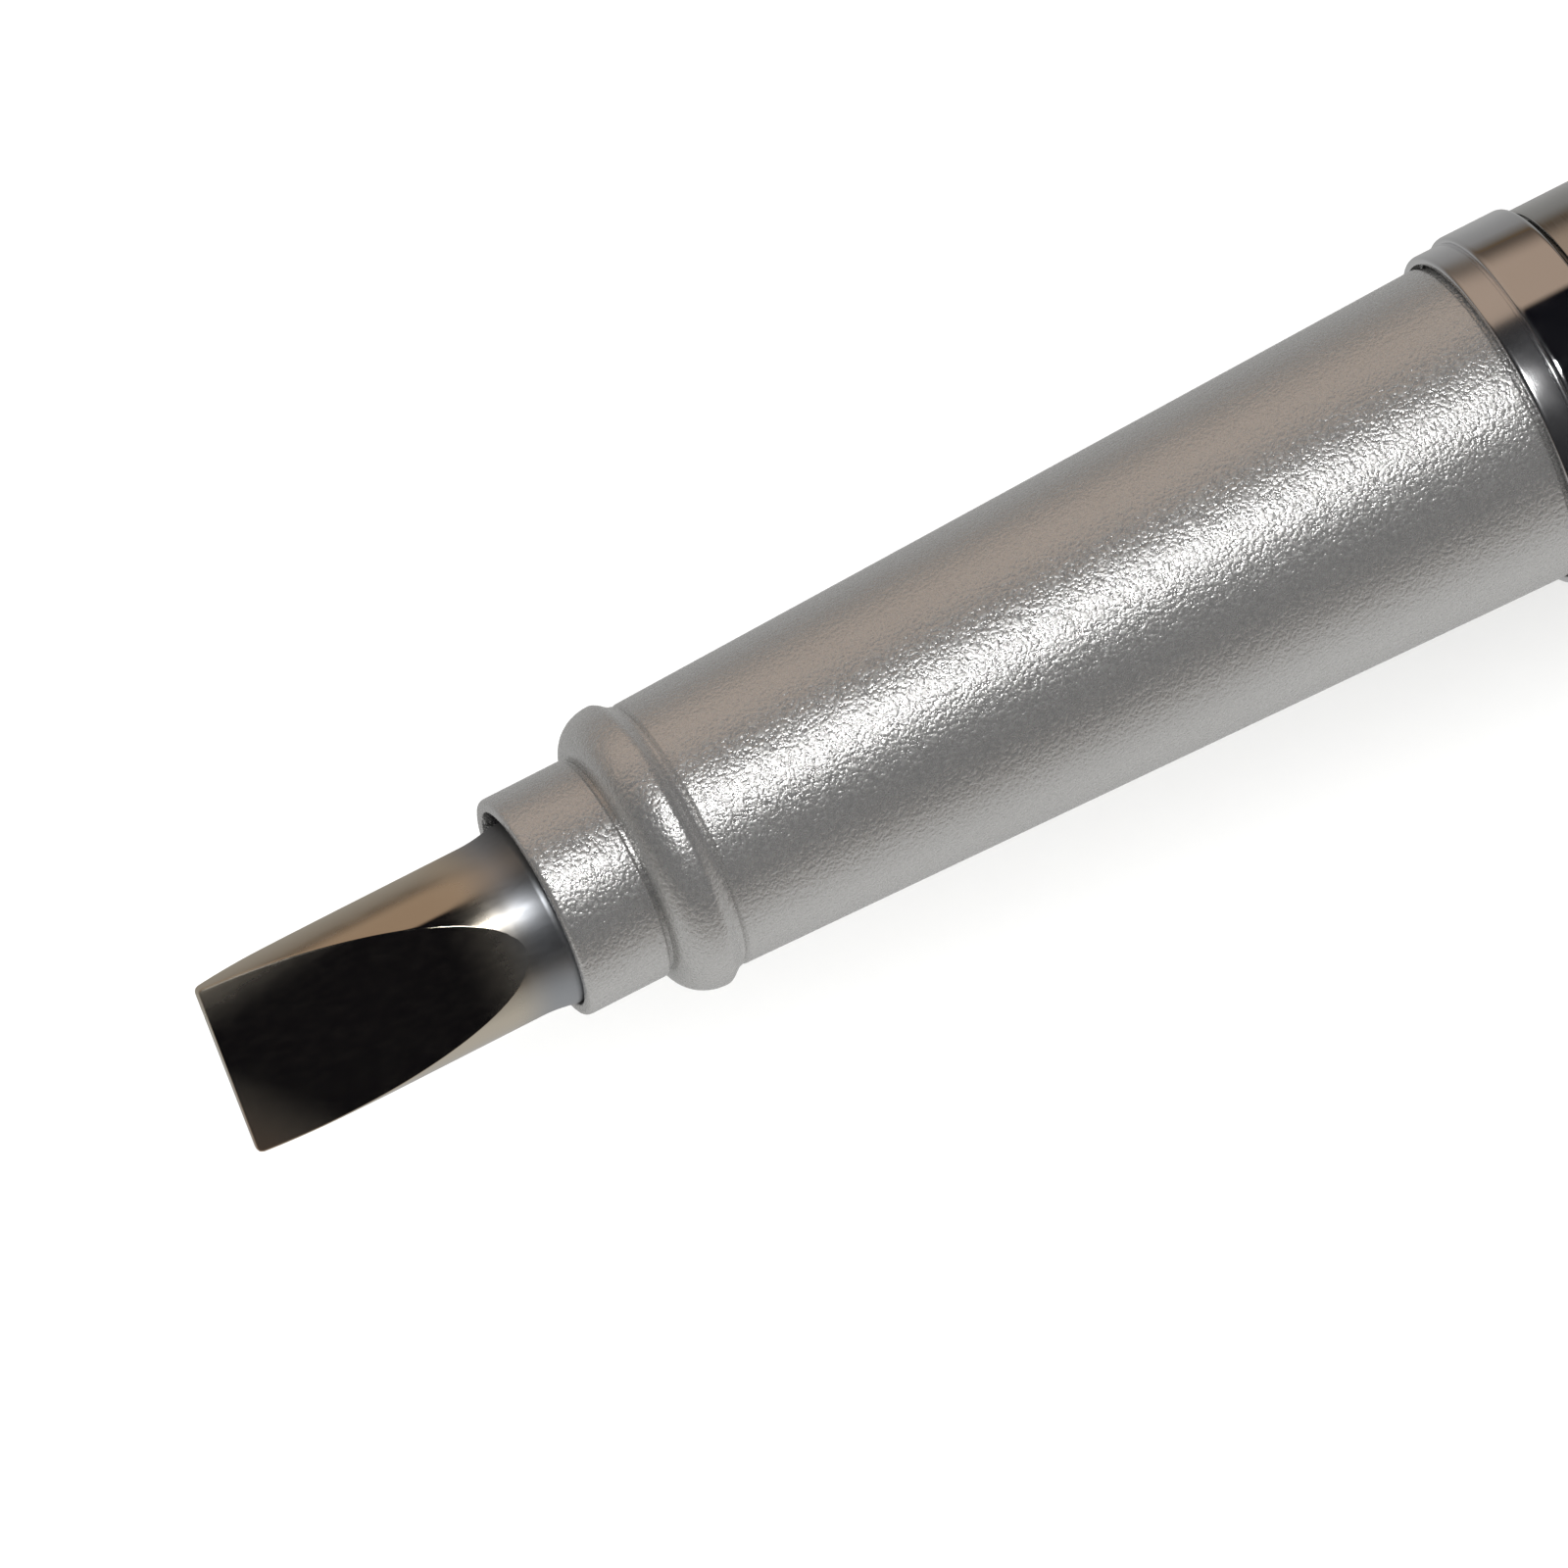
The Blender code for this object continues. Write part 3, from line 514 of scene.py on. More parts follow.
def makeSleeve():
    s = sleeveSet
    outline = [(s["collarFront"] + 0.4, s["bore"], 0.08), (s["collarFront"], s["bore"] + 0.06, 0.08),
               (s["collarFront"], s["collar"], 0.24), (s["beadFront"] - 0.26, s["collar"], 0.05),
               (s["beadFront"] - 0.18, s["collar"] - 0.24, 0.04), (s["beadFront"], s["collar"] - 0.24, 0.04)]
    for step in range(19):
        angle = math.radians(176 - 86 * step / 18)
        outline.append((s["beadCrest"] + (s["beadCrest"] - s["beadFront"]) * math.cos(angle),
                        s["collar"] + (s["bead"] - s["collar"]) * math.sin(angle)))
    for step in range(1, 15):
        t = step / 14
        fall = (1 + math.cos(math.pi * t)) / 2
        outline.append((s["beadCrest"] + (s["coneFront"] - s["beadCrest"]) * t,
                        s["coneFrontRadius"] + (s["bead"] - s["coneFrontRadius"]) * fall))
    outline[-1] += (0.03,)
    outline += [(s["coneFront"] + 0.06, s["coneFrontRadius"] - 0.13, 0.03),
                (s["coneFront"] + 0.2, s["coneFrontRadius"] + 0.005, 0.03)]
    for step in range(1, 30):       # short steps keep the long cone's shading true
        t = step / 30
        outline.append((s["coneFront"] + (s["coneRear"] - s["coneFront"]) * t,
                        s["coneFrontRadius"] + (s["coneRearRadius"] - s["coneFrontRadius"]) * t))
    outline += [(s["coneRear"], s["coneRearRadius"], 0.1), (s["coneRear"], s["neck"], 0.03),
                (s["flangeFront"], s["neck"], 0.05), (s["flangeFront"], s["flange"], 0.06),
                (s["rear"], s["flange"], 0.08), (s["rear"], 5.65, 0.08), (16.4, 4.72, 0.1),
                (16.0, s["bore"], 0.1)]
    sleeve = lathe("taperedSleeve", outline, blastedSteel("blastedSteel"), sides=192)
    finished(sleeve, "sleeve", ["tip_sleeve"])
    print("sleeve made")


nutSet = {"lipFront": 51.62, "lip": 6.5, "groove": 6.46, "grooveWidth": 0.12, "bandFront": 52.78, "band": 6.7,
          "rear": 55.28, "seat": 52.25, "bore": 6.4, "lipBore": 6.2}


def brightChrome(name):
    chrome = Finish(name, metallic=1.0, base_color=(0.84, 0.84, 0.85))
    front = nutSet["bandFront"]
    lip = chrome.ease(chrome.part(chrome.where, 0), alongX(front + 0.25), alongX(front))
    chrome.vary("Roughness", chrome.ease(chrome.noise(500.0, 4.0), 0.35, 0.75, 0.03, 0.09) + lip * 0.14)
    chrome.relief(chrome.noise(12.0, 2.0, squash=(900.0, 120.0, 120.0)), 0.06, 0.00001)
    return chrome.material


def makeNut():
    n = nutSet
    lipRear = n["bandFront"] - n["grooveWidth"]
    outline = [(n["lipFront"], n["lipBore"], 0.05), (n["lipFront"], n["lip"], 0.2),
               (lipRear, n["lip"], 0.03), (lipRear, n["groove"], 0.02),
               (n["bandFront"], n["groove"], 0.02), (n["bandFront"], n["band"], 0.26),
               (n["rear"], n["band"], 0.2), (n["rear"], n["bore"], 0.05), (n["seat"], n["bore"], 0.05),
               (n["seat"], n["lipBore"], 0.05)]
    nut = lathe("ringNut", outline, brightChrome("brightChrome"), sides=192)
    finished(nut, "nut", ["retaining_nut"])
    print("nut made")


barrelSet = {"front": 55.5, "radius": 6.45, "bore": 6.0, "flangeFront": 97.75, "flange": 8.0, "rear": 98.75,
             "ventStation": 84.0, "ventTurns": (22.5, 67.5, 112.5, 157.5), "ventRadius": 1.1,
             "ventStraight": 2.2, "slotReach": 9, "threadFront": 53.32, "threadRear": 54.75, "thread": 6.35,
             "pitch": 0.5, "threadDepth": 0.22, "bushRear": 60.0, "bushNeck": 5.88, "bushBore": 5.3,
             "seatBore": 5.2, "seatRear": 54.5}


def turnedSteel(name, tone, low, high, marks, depth):
    # fine rings left by turning, which run round the axis
    steel = Finish(name, metallic=1.0)
    steel.mottle(tone, 0.05, 60.0)
    rings = steel.noise(marks, 3.0, squash=(40.0, 1.0, 1.0))
    steel.vary("Roughness", steel.ease(rings, 0.3, 0.7, low, high))
    steel.relief(rings, depth, 0.00001)
    return steel.material


def slotTool(turn):
    # a long round-ended slot that passes right through the barrel
    b = barrelSet
    outward = across(turn)
    sideways = across(turn + 90)
    rings = []
    for reach in (-b["slotReach"], b["slotReach"]):
        ring = []
        for index in range(48):
            angle = math.tau * (index + 0.5) / 48
            end = math.copysign(b["ventStraight"], math.cos(angle))
            step = Vector((end + b["ventRadius"] * math.cos(angle), 0, 0))
            step += sideways * b["ventRadius"] * math.sin(angle)
            ring.append((step + outward * reach) * mm + Vector((alongX(b["ventStation"]), 0, 0)))
        rings.append(ring)
    return asObject("slotTool", ringSurface(rings, False, True, True), None)


def makeBarrel():
    b = barrelSet
    outline = [(b["front"], b["bore"], 0.05), (b["front"], b["radius"], 0.1)]
    outline += [(60 + 5 * step, b["radius"]) for step in range(8)]
    outline += [(b["flangeFront"], b["radius"], 0.3), (b["flangeFront"], b["flange"], 0.1),
                (b["rear"], b["flange"], 0.1), (b["rear"], b["bore"], 0.05)]
    steel = turnedSteel("drawnSteel", (0.66, 0.65, 0.63), 0.10, 0.2, 220.0, 0.12)
    barrel = lathe("ventedBarrel", outline, steel, sides=160)
    for turn in b["ventTurns"]:
        carve(barrel, slotTool(turn))
    finished(barrel, "handle", ["barrel_tube"])

    def thread(station, radius, angle):
        if radius < b["thread"] - 0.01:
            return 0.0
        return -b["threadDepth"] * (0.5 + 0.5 * math.cos(math.tau * station / b["pitch"] + angle))

    outline = [(b["threadFront"], b["seatBore"], 0.05)]
    count = 24
    for step in range(count + 1):
        station = b["threadFront"] + (b["threadRear"] - b["threadFront"]) * step / count
        outline.append((station, b["thread"]))
    outline += [(b["threadRear"], b["bushNeck"]), (b["bushRear"], b["bushNeck"], 0.1),
                (b["bushRear"], b["bushBore"]), (b["seatRear"], b["bushBore"]),
                (b["seatRear"], b["seatBore"])]
    steel = turnedSteel("bushSteel", (0.55, 0.55, 0.54), 0.2, 0.36, 300.0, 0.2)
    bush = lathe("threadedBush", outline, steel, swell=thread)
    finished(bush, "handle", ["threaded_bush"])
    print("barrel made")


heaterSet = {"front": 19.1, "rear": 64.0, "radius": 2.55}


def firedCeramic(name):
    ceramic = Finish(name, subsurface_weight=0.05)
    ceramic.mottle((0.47, 0.45, 0.41), 0.08, 180.0)
    grit = ceramic.noise(2600.0, 4.0, 0.6)
    ceramic.vary("Roughness", ceramic.ease(grit, 0.3, 0.7, 0.5, 0.72))
    ceramic.relief(grit, 0.25, 0.00003)
    return ceramic.material


def makeHeater(ceramic):
    h = heaterSet
    outline = [(h["front"], 0.3), (h["front"], h["radius"], 0.5)]
    outline += [(25 + 6 * step, h["radius"]) for step in range(6)]
    outline += [(h["rear"], h["radius"], 0.2), (h["rear"], 0.3)]
    heater = lathe("ceramicHeater", outline, ceramic, sides=96, closed=False)
    finished(heater, "handle", ["heater_rod"])
    print("heater made")


def mouldedPlastic(name, tone, low, high, grain=1500.0, depth=0.25, wear=0.05, **even):
    # moulded plastic: a fine spark-eroded grain, with slow changes of tone and of polish from handling
    plastic = Finish(name, **even)
    plastic.mottle(tone, wear, 45.0)
    stipple = plastic.noise(grain, 3.0, 0.6)
    handling = plastic.noise(38.0, 3.0)
    plastic.vary("Roughness", plastic.ease(handling, 0.3, 0.7, low, high) + stipple * 0.06)
    plastic.relief(stipple, depth, 0.00004)
    return plastic.material


guardSet = {"front": 92.0, "rear": 97.1, "radius": 17.0, "bore": 6.75, "grooves": (8.6, 10.4, 12.2),
            "grooveHalf": 0.35, "grooveDepth": 0.35, "neck": 11.5, "lugFront": 98.8, "lug": 12.5,
            "lugRear": 100.0, "pocket": 8.3, "pocketFront": 97.0}


def makeGuard(nylon):
    g = guardSet
    outline = [(g["front"], g["bore"], 0.3)]
    for radius in g["grooves"]:     # shallow rings moulded in the front face
        outline += [(g["front"], radius - g["grooveHalf"], 0.1), (g["front"] + g["grooveDepth"], radius, 0.1),
                    (g["front"], radius + g["grooveHalf"], 0.1)]
    outline += [(g["front"], 13.0, 0.4), (g["front"] + 0.6, g["radius"], 1.6), (g["rear"], g["radius"], 1.3),
                (g["rear"], g["neck"], 0.2), (g["lugFront"], g["neck"]), (g["lugFront"], g["lug"], 0.2),
                (g["lugRear"], g["lug"], 0.2), (g["lugRear"], g["pocket"]), (g["pocketFront"], g["pocket"]),
                (g["pocketFront"], g["bore"])]
    guard = lathe("roundGuard", outline, nylon, sides=192, flatBelow=restLevel, sharp=28.0, detail=7)
    finished(evenOut(guard), "handle", ["hand_guard"])
    print("guard made")


gripSet = {"front": 104.8, "rear": 162.9, "radius": 15.3, "bore": 12.7, "waist": 0.9, "ribPitch": 3.4,
           "ribDepth": 0.55, "endPlain": 3.2, "step": 0.34}


def softRubber(name):
    rubber = Finish(name, sheen_weight=0.12, sheen_roughness=0.6, specular_ior_level=0.35)
    dust = rubber.ease(rubber.noise(150.0, 4.0), 0.45, 0.85)
    rubber.vary("Base Color", rubber.blend(dust, shade((0.017, 0.018, 0.020)), shade((0.040, 0.040, 0.039))))
    stipple = rubber.cells(1500.0)
    rubber.polish(400.0, 0.62, 0.82)
    rubber.relief(stipple, 0.3, 0.00005)
    return rubber.material


def makeGrip():
    g = gripSet
    outline = [(g["front"], g["bore"])]
    outline += [(g["front"], g["radius"] - 0.7), (g["front"] + 0.2, g["radius"] - 0.25)]
    count = int((g["rear"] - g["front"] - 1.0) / g["step"])
    for step in range(count + 1):
        t = step / count
        station = g["front"] + 0.5 + (g["rear"] - g["front"] - 1.0) * t
        radius = g["radius"] - g["waist"] * math.sin(math.pi * t)
        inside = min(station - g["front"], g["rear"] - station) - g["endPlain"]
        if inside > 0:
            wave = math.cos(math.tau * (station - g["front"] - g["endPlain"]) / g["ribPitch"])
            radius -= g["ribDepth"] * max(0.0, min(1.0, 0.25 - wave * 1.4)) * min(1.0, inside / 0.8)
        outline.append((station, radius))
    outline += [(g["rear"] - 0.2, g["radius"] - 0.25), (g["rear"], g["radius"] - 0.7),
                (g["rear"], g["bore"])]
    grip = lathe("ribbedGrip", outline, softRubber("softRubber"), sides=160, flatBelow=restLevel, sharp=50.0)
    finished(grip, "handle", ["grip_sleeve"])
    print("grip made")


handleSet = {"neckFront": 97.4, "neck": 14.2, "neckRear": 104.5, "waist": 12.4, "waistRear": 163.2,
             "bodyFront": 163.8, "radius": 14.8, "rear": 228.0, "halfGap": 0.15, "frontRing": 164.9,
             "rearRings": (224.9, 226.4), "ringHalf": 0.4, "ringDepth": 0.35, "seamDepth": 0.22,
             "seamWidth": 0.35, "dialStation": 194.0, "dialSeat": 8.8, "dialSeatFloor": 13.3,
             "shaftHole": 2.8, "lampStation": 177.0, "lampHole": 2.05, "holeFrom": 8, "holeTo": 20,
             "screws": ((168.5, -8.3), (168.5, 8.3), (220.5, -8.3), (220.5, 8.3)),
             "screwHole": 1.6, "screwSeat": 2.9, "screwSeatFloor": 7.5, "blue": (0.022, 0.085, 0.27)}


def handleRadius(station):
    h = handleSet
    t = (station - h["bodyFront"]) / (h["rear"] - h["bodyFront"])
    radius = h["radius"] - 0.2 * math.sin(math.pi * t) - 0.3 * t
    for ring in (h["frontRing"], *h["rearRings"]):
        away = abs(station - ring) / h["ringHalf"]
        if away < 1:
            radius -= h["ringDepth"] * (1 + math.cos(math.pi * away)) / 2
    return radius


def handleOutline():
    h = handleSet
    corners = [(h["neckFront"], 11.8, 0.1), (h["neckFront"], h["neck"], 0.8),
               (h["neckRear"], h["neck"], 0.4), (h["neckRear"], h["waist"])]
    corners += [(110 + 10 * step, h["waist"]) for step in range(6)]
    corners += [(h["waistRear"], h["waist"]), (h["waistRear"], 14.4, 0.2),
                (h["bodyFront"], h["radius"], 0.3)]
    stations = [164.4 + 0.1 * step for step in range(11)]
    stations += [166.5 + 2 * step for step in range(29)]
    stations += [224.4 + 0.1 * step for step in range(26)]
    corners += [(station, handleRadius(station)) for station in stations]
    corners += [(h["rear"], h["radius"] - 0.3, 0.35), (h["rear"], 12.5, 0.1), (165.5, 12.5), (162.5, 10.2),
                (103.6, 10.2), (103.2, 12.8), (98.5, 12.8), (98.5, 11.8)]
    return softened(corners)


def makeShell(name, node, side, plastic):
    h = handleSet
    outline = handleOutline()
    fractions = [0.0, 0.15, 0.3, 0.5, 0.8, 1.3]         # mm round from the joint, then even steps
    halfWay = math.pi * h["radius"] - 2 * fractions[-1]
    fractions += [fractions[-1] + halfWay * step / 72 for step in range(1, 73)]
    fractions += [math.pi * h["radius"] - close for close in (0.8, 0.5, 0.3, 0.15, 0.0)]
    rings = []
    for fraction in fractions:
        share = fraction / (math.pi * h["radius"])
        close = min(fraction, math.pi * h["radius"] - fraction)
        dip = h["seamDepth"] * max(0.0, 1 - close / h["seamWidth"]) ** 2
        ring = []
        for station, radius in outline:
            first = math.asin(h["halfGap"] / radius)
            angle = first + (math.pi - 2 * first) * share
            reach = radius - (dip if radius > 13.3 else 0.0)
            height = max(reach * math.cos(angle), restLevel)
            ring.append(Vector((alongX(station), side * reach * math.sin(angle) * mm, height * mm)))
        rings.append(ring)
    shell = asObject(name, ringSurface(rings, False, True, True), plastic, 35.0)
    dialAt = Vector((alongX(h["dialStation"]), 0, 0))
    lampAt = Vector((alongX(h["lampStation"]), 0, 0))
    tool = bmesh.new()
    seat = [(h["shaftHole"], h["holeFrom"]), (h["shaftHole"], h["dialSeatFloor"]),
            (h["dialSeat"], h["dialSeatFloor"]), (h["dialSeat"], h["holeTo"])]
    ringSurface(standingRings(seat, 128, dialAt), False, True, True, tool)
    hole = [(h["lampHole"], h["holeFrom"]), (h["lampHole"], h["holeTo"])]
    ringSurface(standingRings(hole, 64, lampAt), False, True, True, tool)
    laid = Matrix.Rotation(math.pi / 2, 3, "X")         # what stood along +Z comes to point along -Y
    if side < 0:
        for station, height in h["screws"]:
            at = Vector((alongX(station), 0, height * mm))
            well = [(h["screwHole"], -2), (h["screwHole"], h["screwSeatFloor"]),
                    (h["screwSeat"], h["screwSeatFloor"]), (h["screwSeat"], 17)]
            ringSurface(standingRings(well, 64, at, laid), False, True, True, tool)
    carve(shell, asObject("seatTool", tool, None))
    finished(shell, "handle", [node])


def makeMarks(ink):
    # ten raised marks round the dial, following the handle's curve
    shape = bmesh.new()
    for index in range(10):
        angle = math.pi + math.radians(-135 + 30 * index)
        length = 1.8 if index in (0, 9) else 1.2
        outward = Vector((math.cos(angle), math.sin(angle)))
        sideways = Vector((-math.sin(angle), math.cos(angle)))
        rings = []
        for reach in [9.5 + length * step / 4 for step in range(5)]:
            low, high = [], []
            for offset in (-0.22, 0.22):
                spot = outward * reach + sideways * offset
                surface = math.sqrt(handleRadius(handleSet["dialStation"] + spot.x) ** 2 - spot.y ** 2)
                at = Vector((alongX(handleSet["dialStation"] + spot.x), spot.y * mm, 0))
                low.append(at + Vector((0, 0, (surface - 0.15) * mm)))
                high.append(at + Vector((0, 0, (surface + 0.06) * mm)))
            rings.append([low[0], low[1], high[1], high[0]])
        ringSurface(rings, False, True, True, shape)
    marks = asObject("dialMarks", shape, ink)
    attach(marks, "handle")


def makeHandle(ink):
    plastic = mouldedPlastic("blueHandle", handleSet["blue"], 0.34, 0.5, specular_ior_level=0.45)
    makeShell("handleLeft", "handle_shell_left", -1, plastic)
    makeShell("handleRight", "handle_shell_right", 1, plastic)
    makeMarks(ink)
    print("handle made")


def zincPlate(name):
    zinc = Finish(name, metallic=1.0)
    tint = zinc.cells(900.0, out=1)
    spangle = zinc.blend(zinc.part(tint, 0), shade((0.56, 0.56, 0.55)), shade((0.68, 0.68, 0.66)))
    zinc.vary("Base Color", spangle)
    zinc.polish(700.0, 0.24, 0.42)
    zinc.relief(zinc.noise(2200.0, 3.0), 0.15, 0.00003)
    return zinc.material


screwSet = {"head": 2.6, "headBase": 7.6, "headTop": 9.2, "shank": 1.3, "end": -7.3, "slotHalf": 0.35,
            "slotFloor": 8.5}


def makeScrews(zinc):
    s = screwSet
    laid = Matrix.Rotation(math.pi / 2, 3, "X")
    outline = softened([(0.05, s["end"]), (s["shank"], s["end"], 0.2), (s["shank"], s["headBase"], 0.05),
                        (s["head"], s["headBase"], 0.1), (s["head"], 8.7, 0.15), (2.0, s["headTop"], 0.35),
                        (0.05, s["headTop"])], closed=False)
    for number, (station, height) in enumerate(handleSet["screws"], 1):
        at = Vector((alongX(station), 0, height * mm))
        shape = ringSurface(standingRings(outline, 64, at, laid), False, True, True)
        screw = asObject(f"handleScrew{number}", shape, zinc, 35.0)
        # each was driven home at its own angle
        turn = Matrix.Rotation(math.radians(37 * number), 3, "Y")
        slot = bmesh.new()
        bmesh.ops.create_cube(slot, size=1.0)
        bmesh.ops.scale(slot, verts=slot.verts, vec=(6 * mm, 1.4 * mm, 2 * s["slotHalf"] * mm))
        bmesh.ops.rotate(slot, verts=slot.verts, cent=(0, 0, 0), matrix=turn)
        bmesh.ops.translate(slot, verts=slot.verts, vec=at + Vector((0, -(s["slotFloor"] + 0.7) * mm, 0)))
        carve(screw, asObject("slotTool", slot, None))
        finished(screw, "handle", [f"shell_screw_{number}"])
    print("screws made")


capSet = {"front": 228.3, "rear": 240.0, "radius": 14.5, "inlet": 4.0, "rings": (230.2, 231.8, 233.4),
          "spigotFront": 225.2, "spigot": 12.2, "domeFront": 235.5, "domeLength": 4.5, "domeRadius": 10.5,
          "domeRise": 4.0}


def makeCap(nylon):
    c = capSet
    outline = [(c["spigotFront"], 10.2), (c["spigotFront"], c["spigot"], 0.3), (c["front"], c["spigot"]),
               (c["front"], c["radius"], 0.3)]
    for ring in c["rings"]:
        outline += [(ring - 0.4, c["radius"], 0.15), (ring, c["radius"] - 0.4, 0.15),
                    (ring + 0.4, c["radius"], 0.15)]
    for step in range(13):
        angle = math.radians(90 - 90 * step / 12)
        outline.append((c["domeFront"] + c["domeLength"] * math.cos(angle),
                        c["domeRadius"] + c["domeRise"] * math.sin(angle)))
    outline += [(c["rear"], 6.6, 0.1), (c["rear"] - 0.3, 6.2, 0.1), (c["rear"] - 0.3, 5.6, 0.1),
                (c["rear"], 5.2, 0.1), (c["rear"], c["inlet"], 0.45), (237.0, c["inlet"], 0.1), (237.0, 9.0),
                (235.0, 10.2)]
    cap = lathe("rearCap", outline, nylon, sides=160, flatBelow=restLevel, sharp=35.0)
    finished(evenOut(cap), "handle", ["rear_cap"])
    print("cap made")


dialSet = {"radius": 8.0, "low": 13.6, "high": 18.4, "flutes": 16, "fluteCircle": 8.3,
           "fluteRadius": 0.9, "yellow": (0.58, 0.35, 0.025)}


def makeDial(ink):
    d = dialSet

    def flute(angle, radius, height):
        if radius < 7.0:
            return 0.0
        spacing = math.tau / d["flutes"]
        away = (angle + spacing / 2) % spacing - spacing / 2
        sideways = d["fluteCircle"] * math.sin(away)
        if abs(sideways) >= d["fluteRadius"]:
            return 0.0
        floor = d["fluteCircle"] * math.cos(away) - math.sqrt(d["fluteRadius"] ** 2 - sideways ** 2)
        return min(0.0, floor - radius)

    outline = softened([(0.05, 17.2), (2.15, 17.2, 0.1), (2.15, d["low"], 0.1), (7.75, d["low"], 0.15),
                        (d["radius"], 14.0, 0.2), (d["radius"], 17.6, 0.5), (7.1, d["high"], 0.4),
                        (5.6, d["high"], 0.15), (5.2, 18.1, 0.15), (0.05, 18.1)], closed=False, detail=6)
    at = Vector((alongX(handleSet["dialStation"]), 0, 0))
    shape = ringSurface(standingRings(outline, 320, at, swell=flute), False, True, True)
    yellow = mouldedPlastic("yellowDial", d["yellow"], 0.28, 0.42, specular_ior_level=0.5)
    dial = asObject("temperatureDial", shape, yellow, 35.0)
    finished(dial, "dial", ["temperature_dial"])
    # a raised pointer on the dial's face
    bar = bmesh.new()
    bmesh.ops.create_cube(bar, size=1.0)
    bmesh.ops.scale(bar, verts=bar.verts, vec=(5.0 * mm, 0.7 * mm, 0.5 * mm))
    bmesh.ops.bevel(bar, geom=bar.edges, offset=0.12 * mm, segments=3, affect="EDGES")
    bmesh.ops.translate(bar, verts=bar.verts, vec=at + Vector((-2.5 * mm, 0, 18.1 * mm)))
    pointer = asObject("dialPointer", bar, ink)
    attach(pointer, "dial")
    print("dial made")


lensSet = {"radius": 1.7, "low": 2.8, "high": 14.6, "dome": 0.8}


def makeLens():
    lens = Finish("redLens", base_color=(0.75, 0.12, 0.08), transmission_weight=0.6, ior=1.49)
    lens.polish(600.0, 0.05, 0.16)
    lens.relief(lens.cells(1400.0), 0.2, 0.00004)
    outline = [(0.05, lensSet["low"]), (lensSet["radius"], lensSet["low"]),
               (lensSet["radius"], lensSet["high"])]
    for step in range(1, 11):
        angle = math.pi / 2 * step / 10
        outline.append((max(0.05, lensSet["radius"] * math.cos(angle)),
                        lensSet["high"] + lensSet["dome"] * math.sin(angle)))
    at = Vector((alongX(handleSet["lampStation"]), 0, 0))
    shape = ringSurface(standingRings(outline, 64, at), False, True, True)
    pipe = asObject("lampLens", shape, lens.material, 40.0)
    finished(pipe, "handle", ["light_pipe"])
    print("lens made")


def micaSheet(name):
    mica = Finish(name, coat_weight=0.4, coat_roughness=0.2)
    flake = mica.part(mica.cells(700.0, out=1), 0)
    mica.vary("Base Color", mica.blend(flake, shade((0.42, 0.36, 0.26)), shade((0.60, 0.54, 0.42))))
    mica.vary("Roughness", mica.ease(flake, 0.0, 1.0, 0.3, 0.55))
    mica.relief(flake, 0.3, 0.00002)
    return mica.material


def braidedGlass(name):
    braid = Finish(name)
    yarns = []
    for lean in (1.0, -1.0):
        crossing = braid.stretch(braid.where, (1.0, lean, 1.0))
        sockets = {"Vector": crossing, "Scale": 420.0, "Distortion": 0.6, "Detail": 1.0}
        yarns.append(braid.add("ShaderNodeTexWave", {"bands_direction": "DIAGONAL"}, sockets, out=1))
    weave = yarns[0] * yarns[1]
    braid.vary("Base Color", braid.blend(weave, shade((0.55, 0.54, 0.49)), shade((0.78, 0.77, 0.72))))
    braid.vary("Roughness", braid.ease(weave, 0.0, 1.0, 0.85, 0.7))
    braid.relief(weave, 0.5, 0.00008)
    return braid.material


def greenInsulation(name):
    cover = Finish(name, specular_ior_level=0.5)
    cover.mottle((0.09, 0.30, 0.07), 0.08, 160.0)
    cover.polish(300.0, 0.35, 0.5)
    cover.relief(cover.noise(900.0, squash=(0.2, 1.0, 1.0)), 0.12, 0.00004)
    return cover.material


def boardLaminate(name):
    # green lacquer over copper tracks
    board = Finish(name, coat_weight=0.3, coat_roughness=0.15)
    tracks = board.add("ShaderNodeTexVoronoi", {"feature": "F1", "distance": "MANHATTAN"},
                       {"Vector": board.where, "Scale": 260.0})
    copper = board.ease(tracks, 0.46, 0.52)
    board.vary("Base Color", board.blend(copper, shade((0.025, 0.14, 0.06)), shade((0.06, 0.27, 0.12))))
    board.polish(400.0, 0.3, 0.45)
    board.relief(copper, 0.4, 0.00004)
    return board.material


def bandedResistor(name):
    coat = Finish(name, specular_ior_level=0.45)
    place = coat.ease(coat.part(coat.where, 1), -0.0045, 0.0045)
    beige = shade((0.50, 0.40, 0.26))
    stops = [(0.0, beige)]
    bands = ((0.22, 0.30, (0.25, 0.09, 0.03)), (0.38, 0.46, (0.02, 0.02, 0.02)),
             (0.54, 0.62, (0.55, 0.20, 0.02)), (0.76, 0.84, (0.45, 0.32, 0.08)))
    for start, stop, tone in bands:
        stops += [(start, shade(tone)), (stop, beige)]
    coat.vary("Base Color", coat.add("ShaderNodeValToRGB", {"stops": stops}, {0: place}))
    coat.polish(900.0, 0.35, 0.5)
    coat.relief(coat.noise(1800.0), 0.15, 0.00003)
    return coat.material


def dressNode(node, material, edge=0.0):
    # a CAD piece kept as it is, with its finish and slightly broken edges
    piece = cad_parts[node]
    piece.data.materials.clear()
    piece.data.materials.append(material)
    if edge:
        soften = piece.modifiers.new("brokenEdges", "BEVEL")
        soften.width = edge * mm
        soften.segments = 2
        soften.limit_method = "ANGLE"
        soften.angle_limit = math.radians(50)
        soften.harden_normals = True


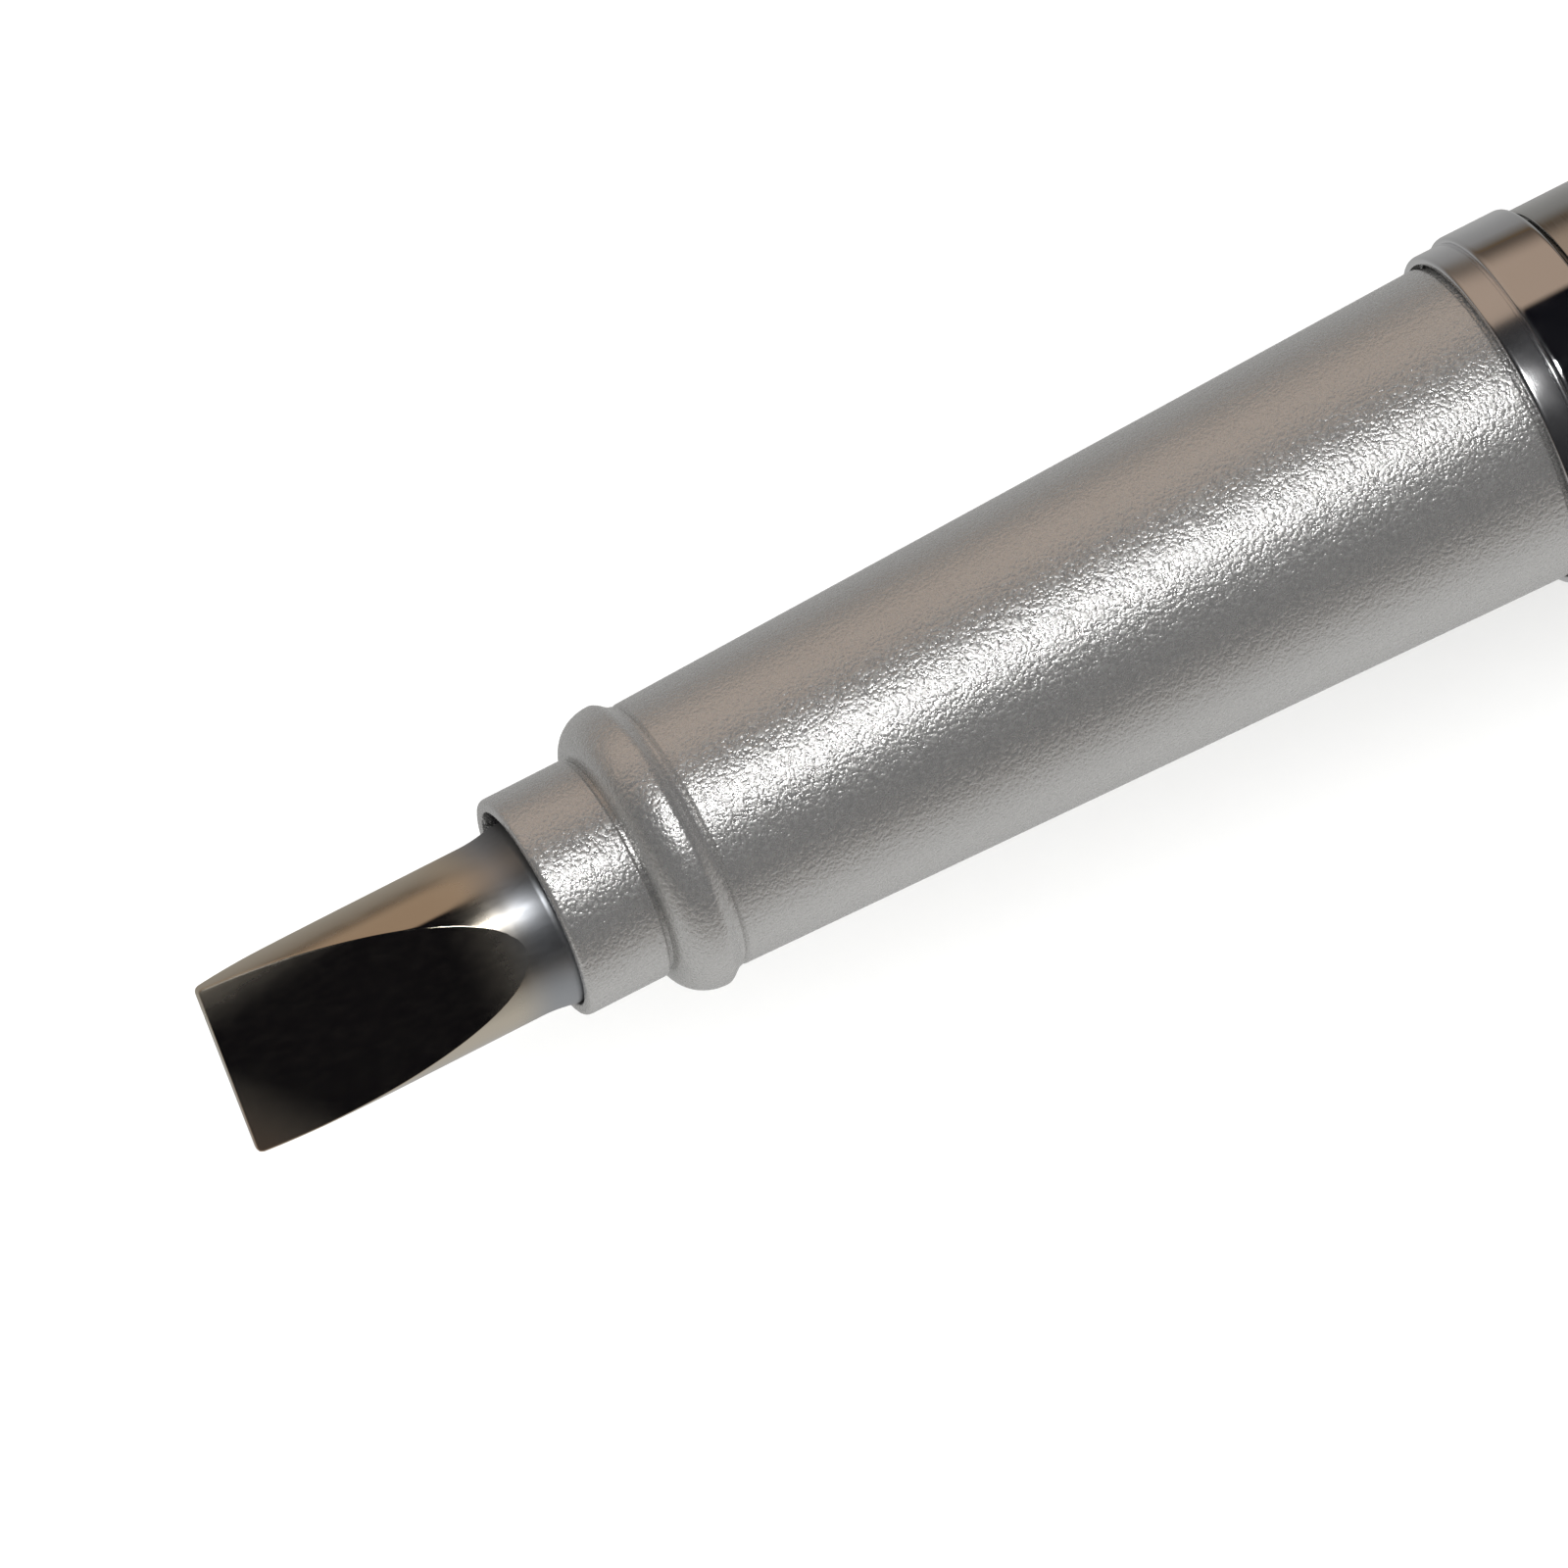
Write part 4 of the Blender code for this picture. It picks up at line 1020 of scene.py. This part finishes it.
def dressInside(zinc, ceramic):
    plain = turnedSteel("shaftSteel", (0.56, 0.56, 0.55), 0.22, 0.36, 300.0, 0.2)
    dressNode("thrust_washer", plain, 0.04)
    dressNode("dial_shaft", plain, 0.15)
    dressNode("heater_seat", ceramic, 0.15)
    sleeving = braidedGlass("braidedGlass")
    for node in ("heater_lead_1", "heater_lead_2", "sensor_lead_1", "sensor_lead_2"):
        dressNode(node, sleeving)
    dressNode("earth_lead", greenInsulation("greenInsulation"))
    dressNode("mica_washer", micaSheet("micaSheet"))
    dressNode("clamp_ring", zinc, 0.12)
    for number in (1, 2, 3):
        dressNode(f"clamp_screw_{number}", zinc, 0.1)
    dressNode("circuit_board", boardLaminate("boardLaminate"), 0.1)
    epoxy = mouldedPlastic("blackEpoxy", (0.02, 0.02, 0.022), 0.4, 0.6, 2600.0, 0.35)
    dressNode("triac", epoxy, 0.25)
    dressNode("control_chip", epoxy, 0.12)
    dressNode("film_capacitor", mouldedPlastic("dippedResin", (0.5, 0.05, 0.03), 0.12, 0.3, 500.0, 0.3), 0.8)
    dressNode("terminal_block", mouldedPlastic("greenTerminal", (0.05, 0.32, 0.14), 0.35, 0.5), 0.3)
    dressNode("power_resistor", bandedResistor("bandedResistor"), 0.4)
    dressNode("potentiometer", mouldedPlastic("blueHousing", (0.10, 0.18, 0.33), 0.32, 0.45), 0.2)
    dressNode("indicator_lamp", mouldedPlastic("redLamp", (0.6, 0.03, 0.02), 0.1, 0.2, 400.0, 0.1,
                                               coat_weight=0.5), 0.15)
    print("inside dressed")


makeCamera()
makeStage()
makeTip()
makeSleeve()
makeNut()
makeBarrel()
ceramic = firedCeramic("firedCeramic")
makeHeater(ceramic)
nylon = mouldedPlastic("darkNylon", (0.030, 0.032, 0.036), 0.36, 0.52, 1300.0, 0.3)
makeGuard(nylon)
makeGrip()
ink = mouldedPlastic("whiteInk", (0.78, 0.78, 0.74), 0.4, 0.55, 900.0, 0.1)
makeHandle(ink)
zinc = zincPlate("zincPlate")
makeScrews(zinc)
makeCap(nylon)
makeDial(ink)
makeLens()
dressInside(zinc, ceramic)
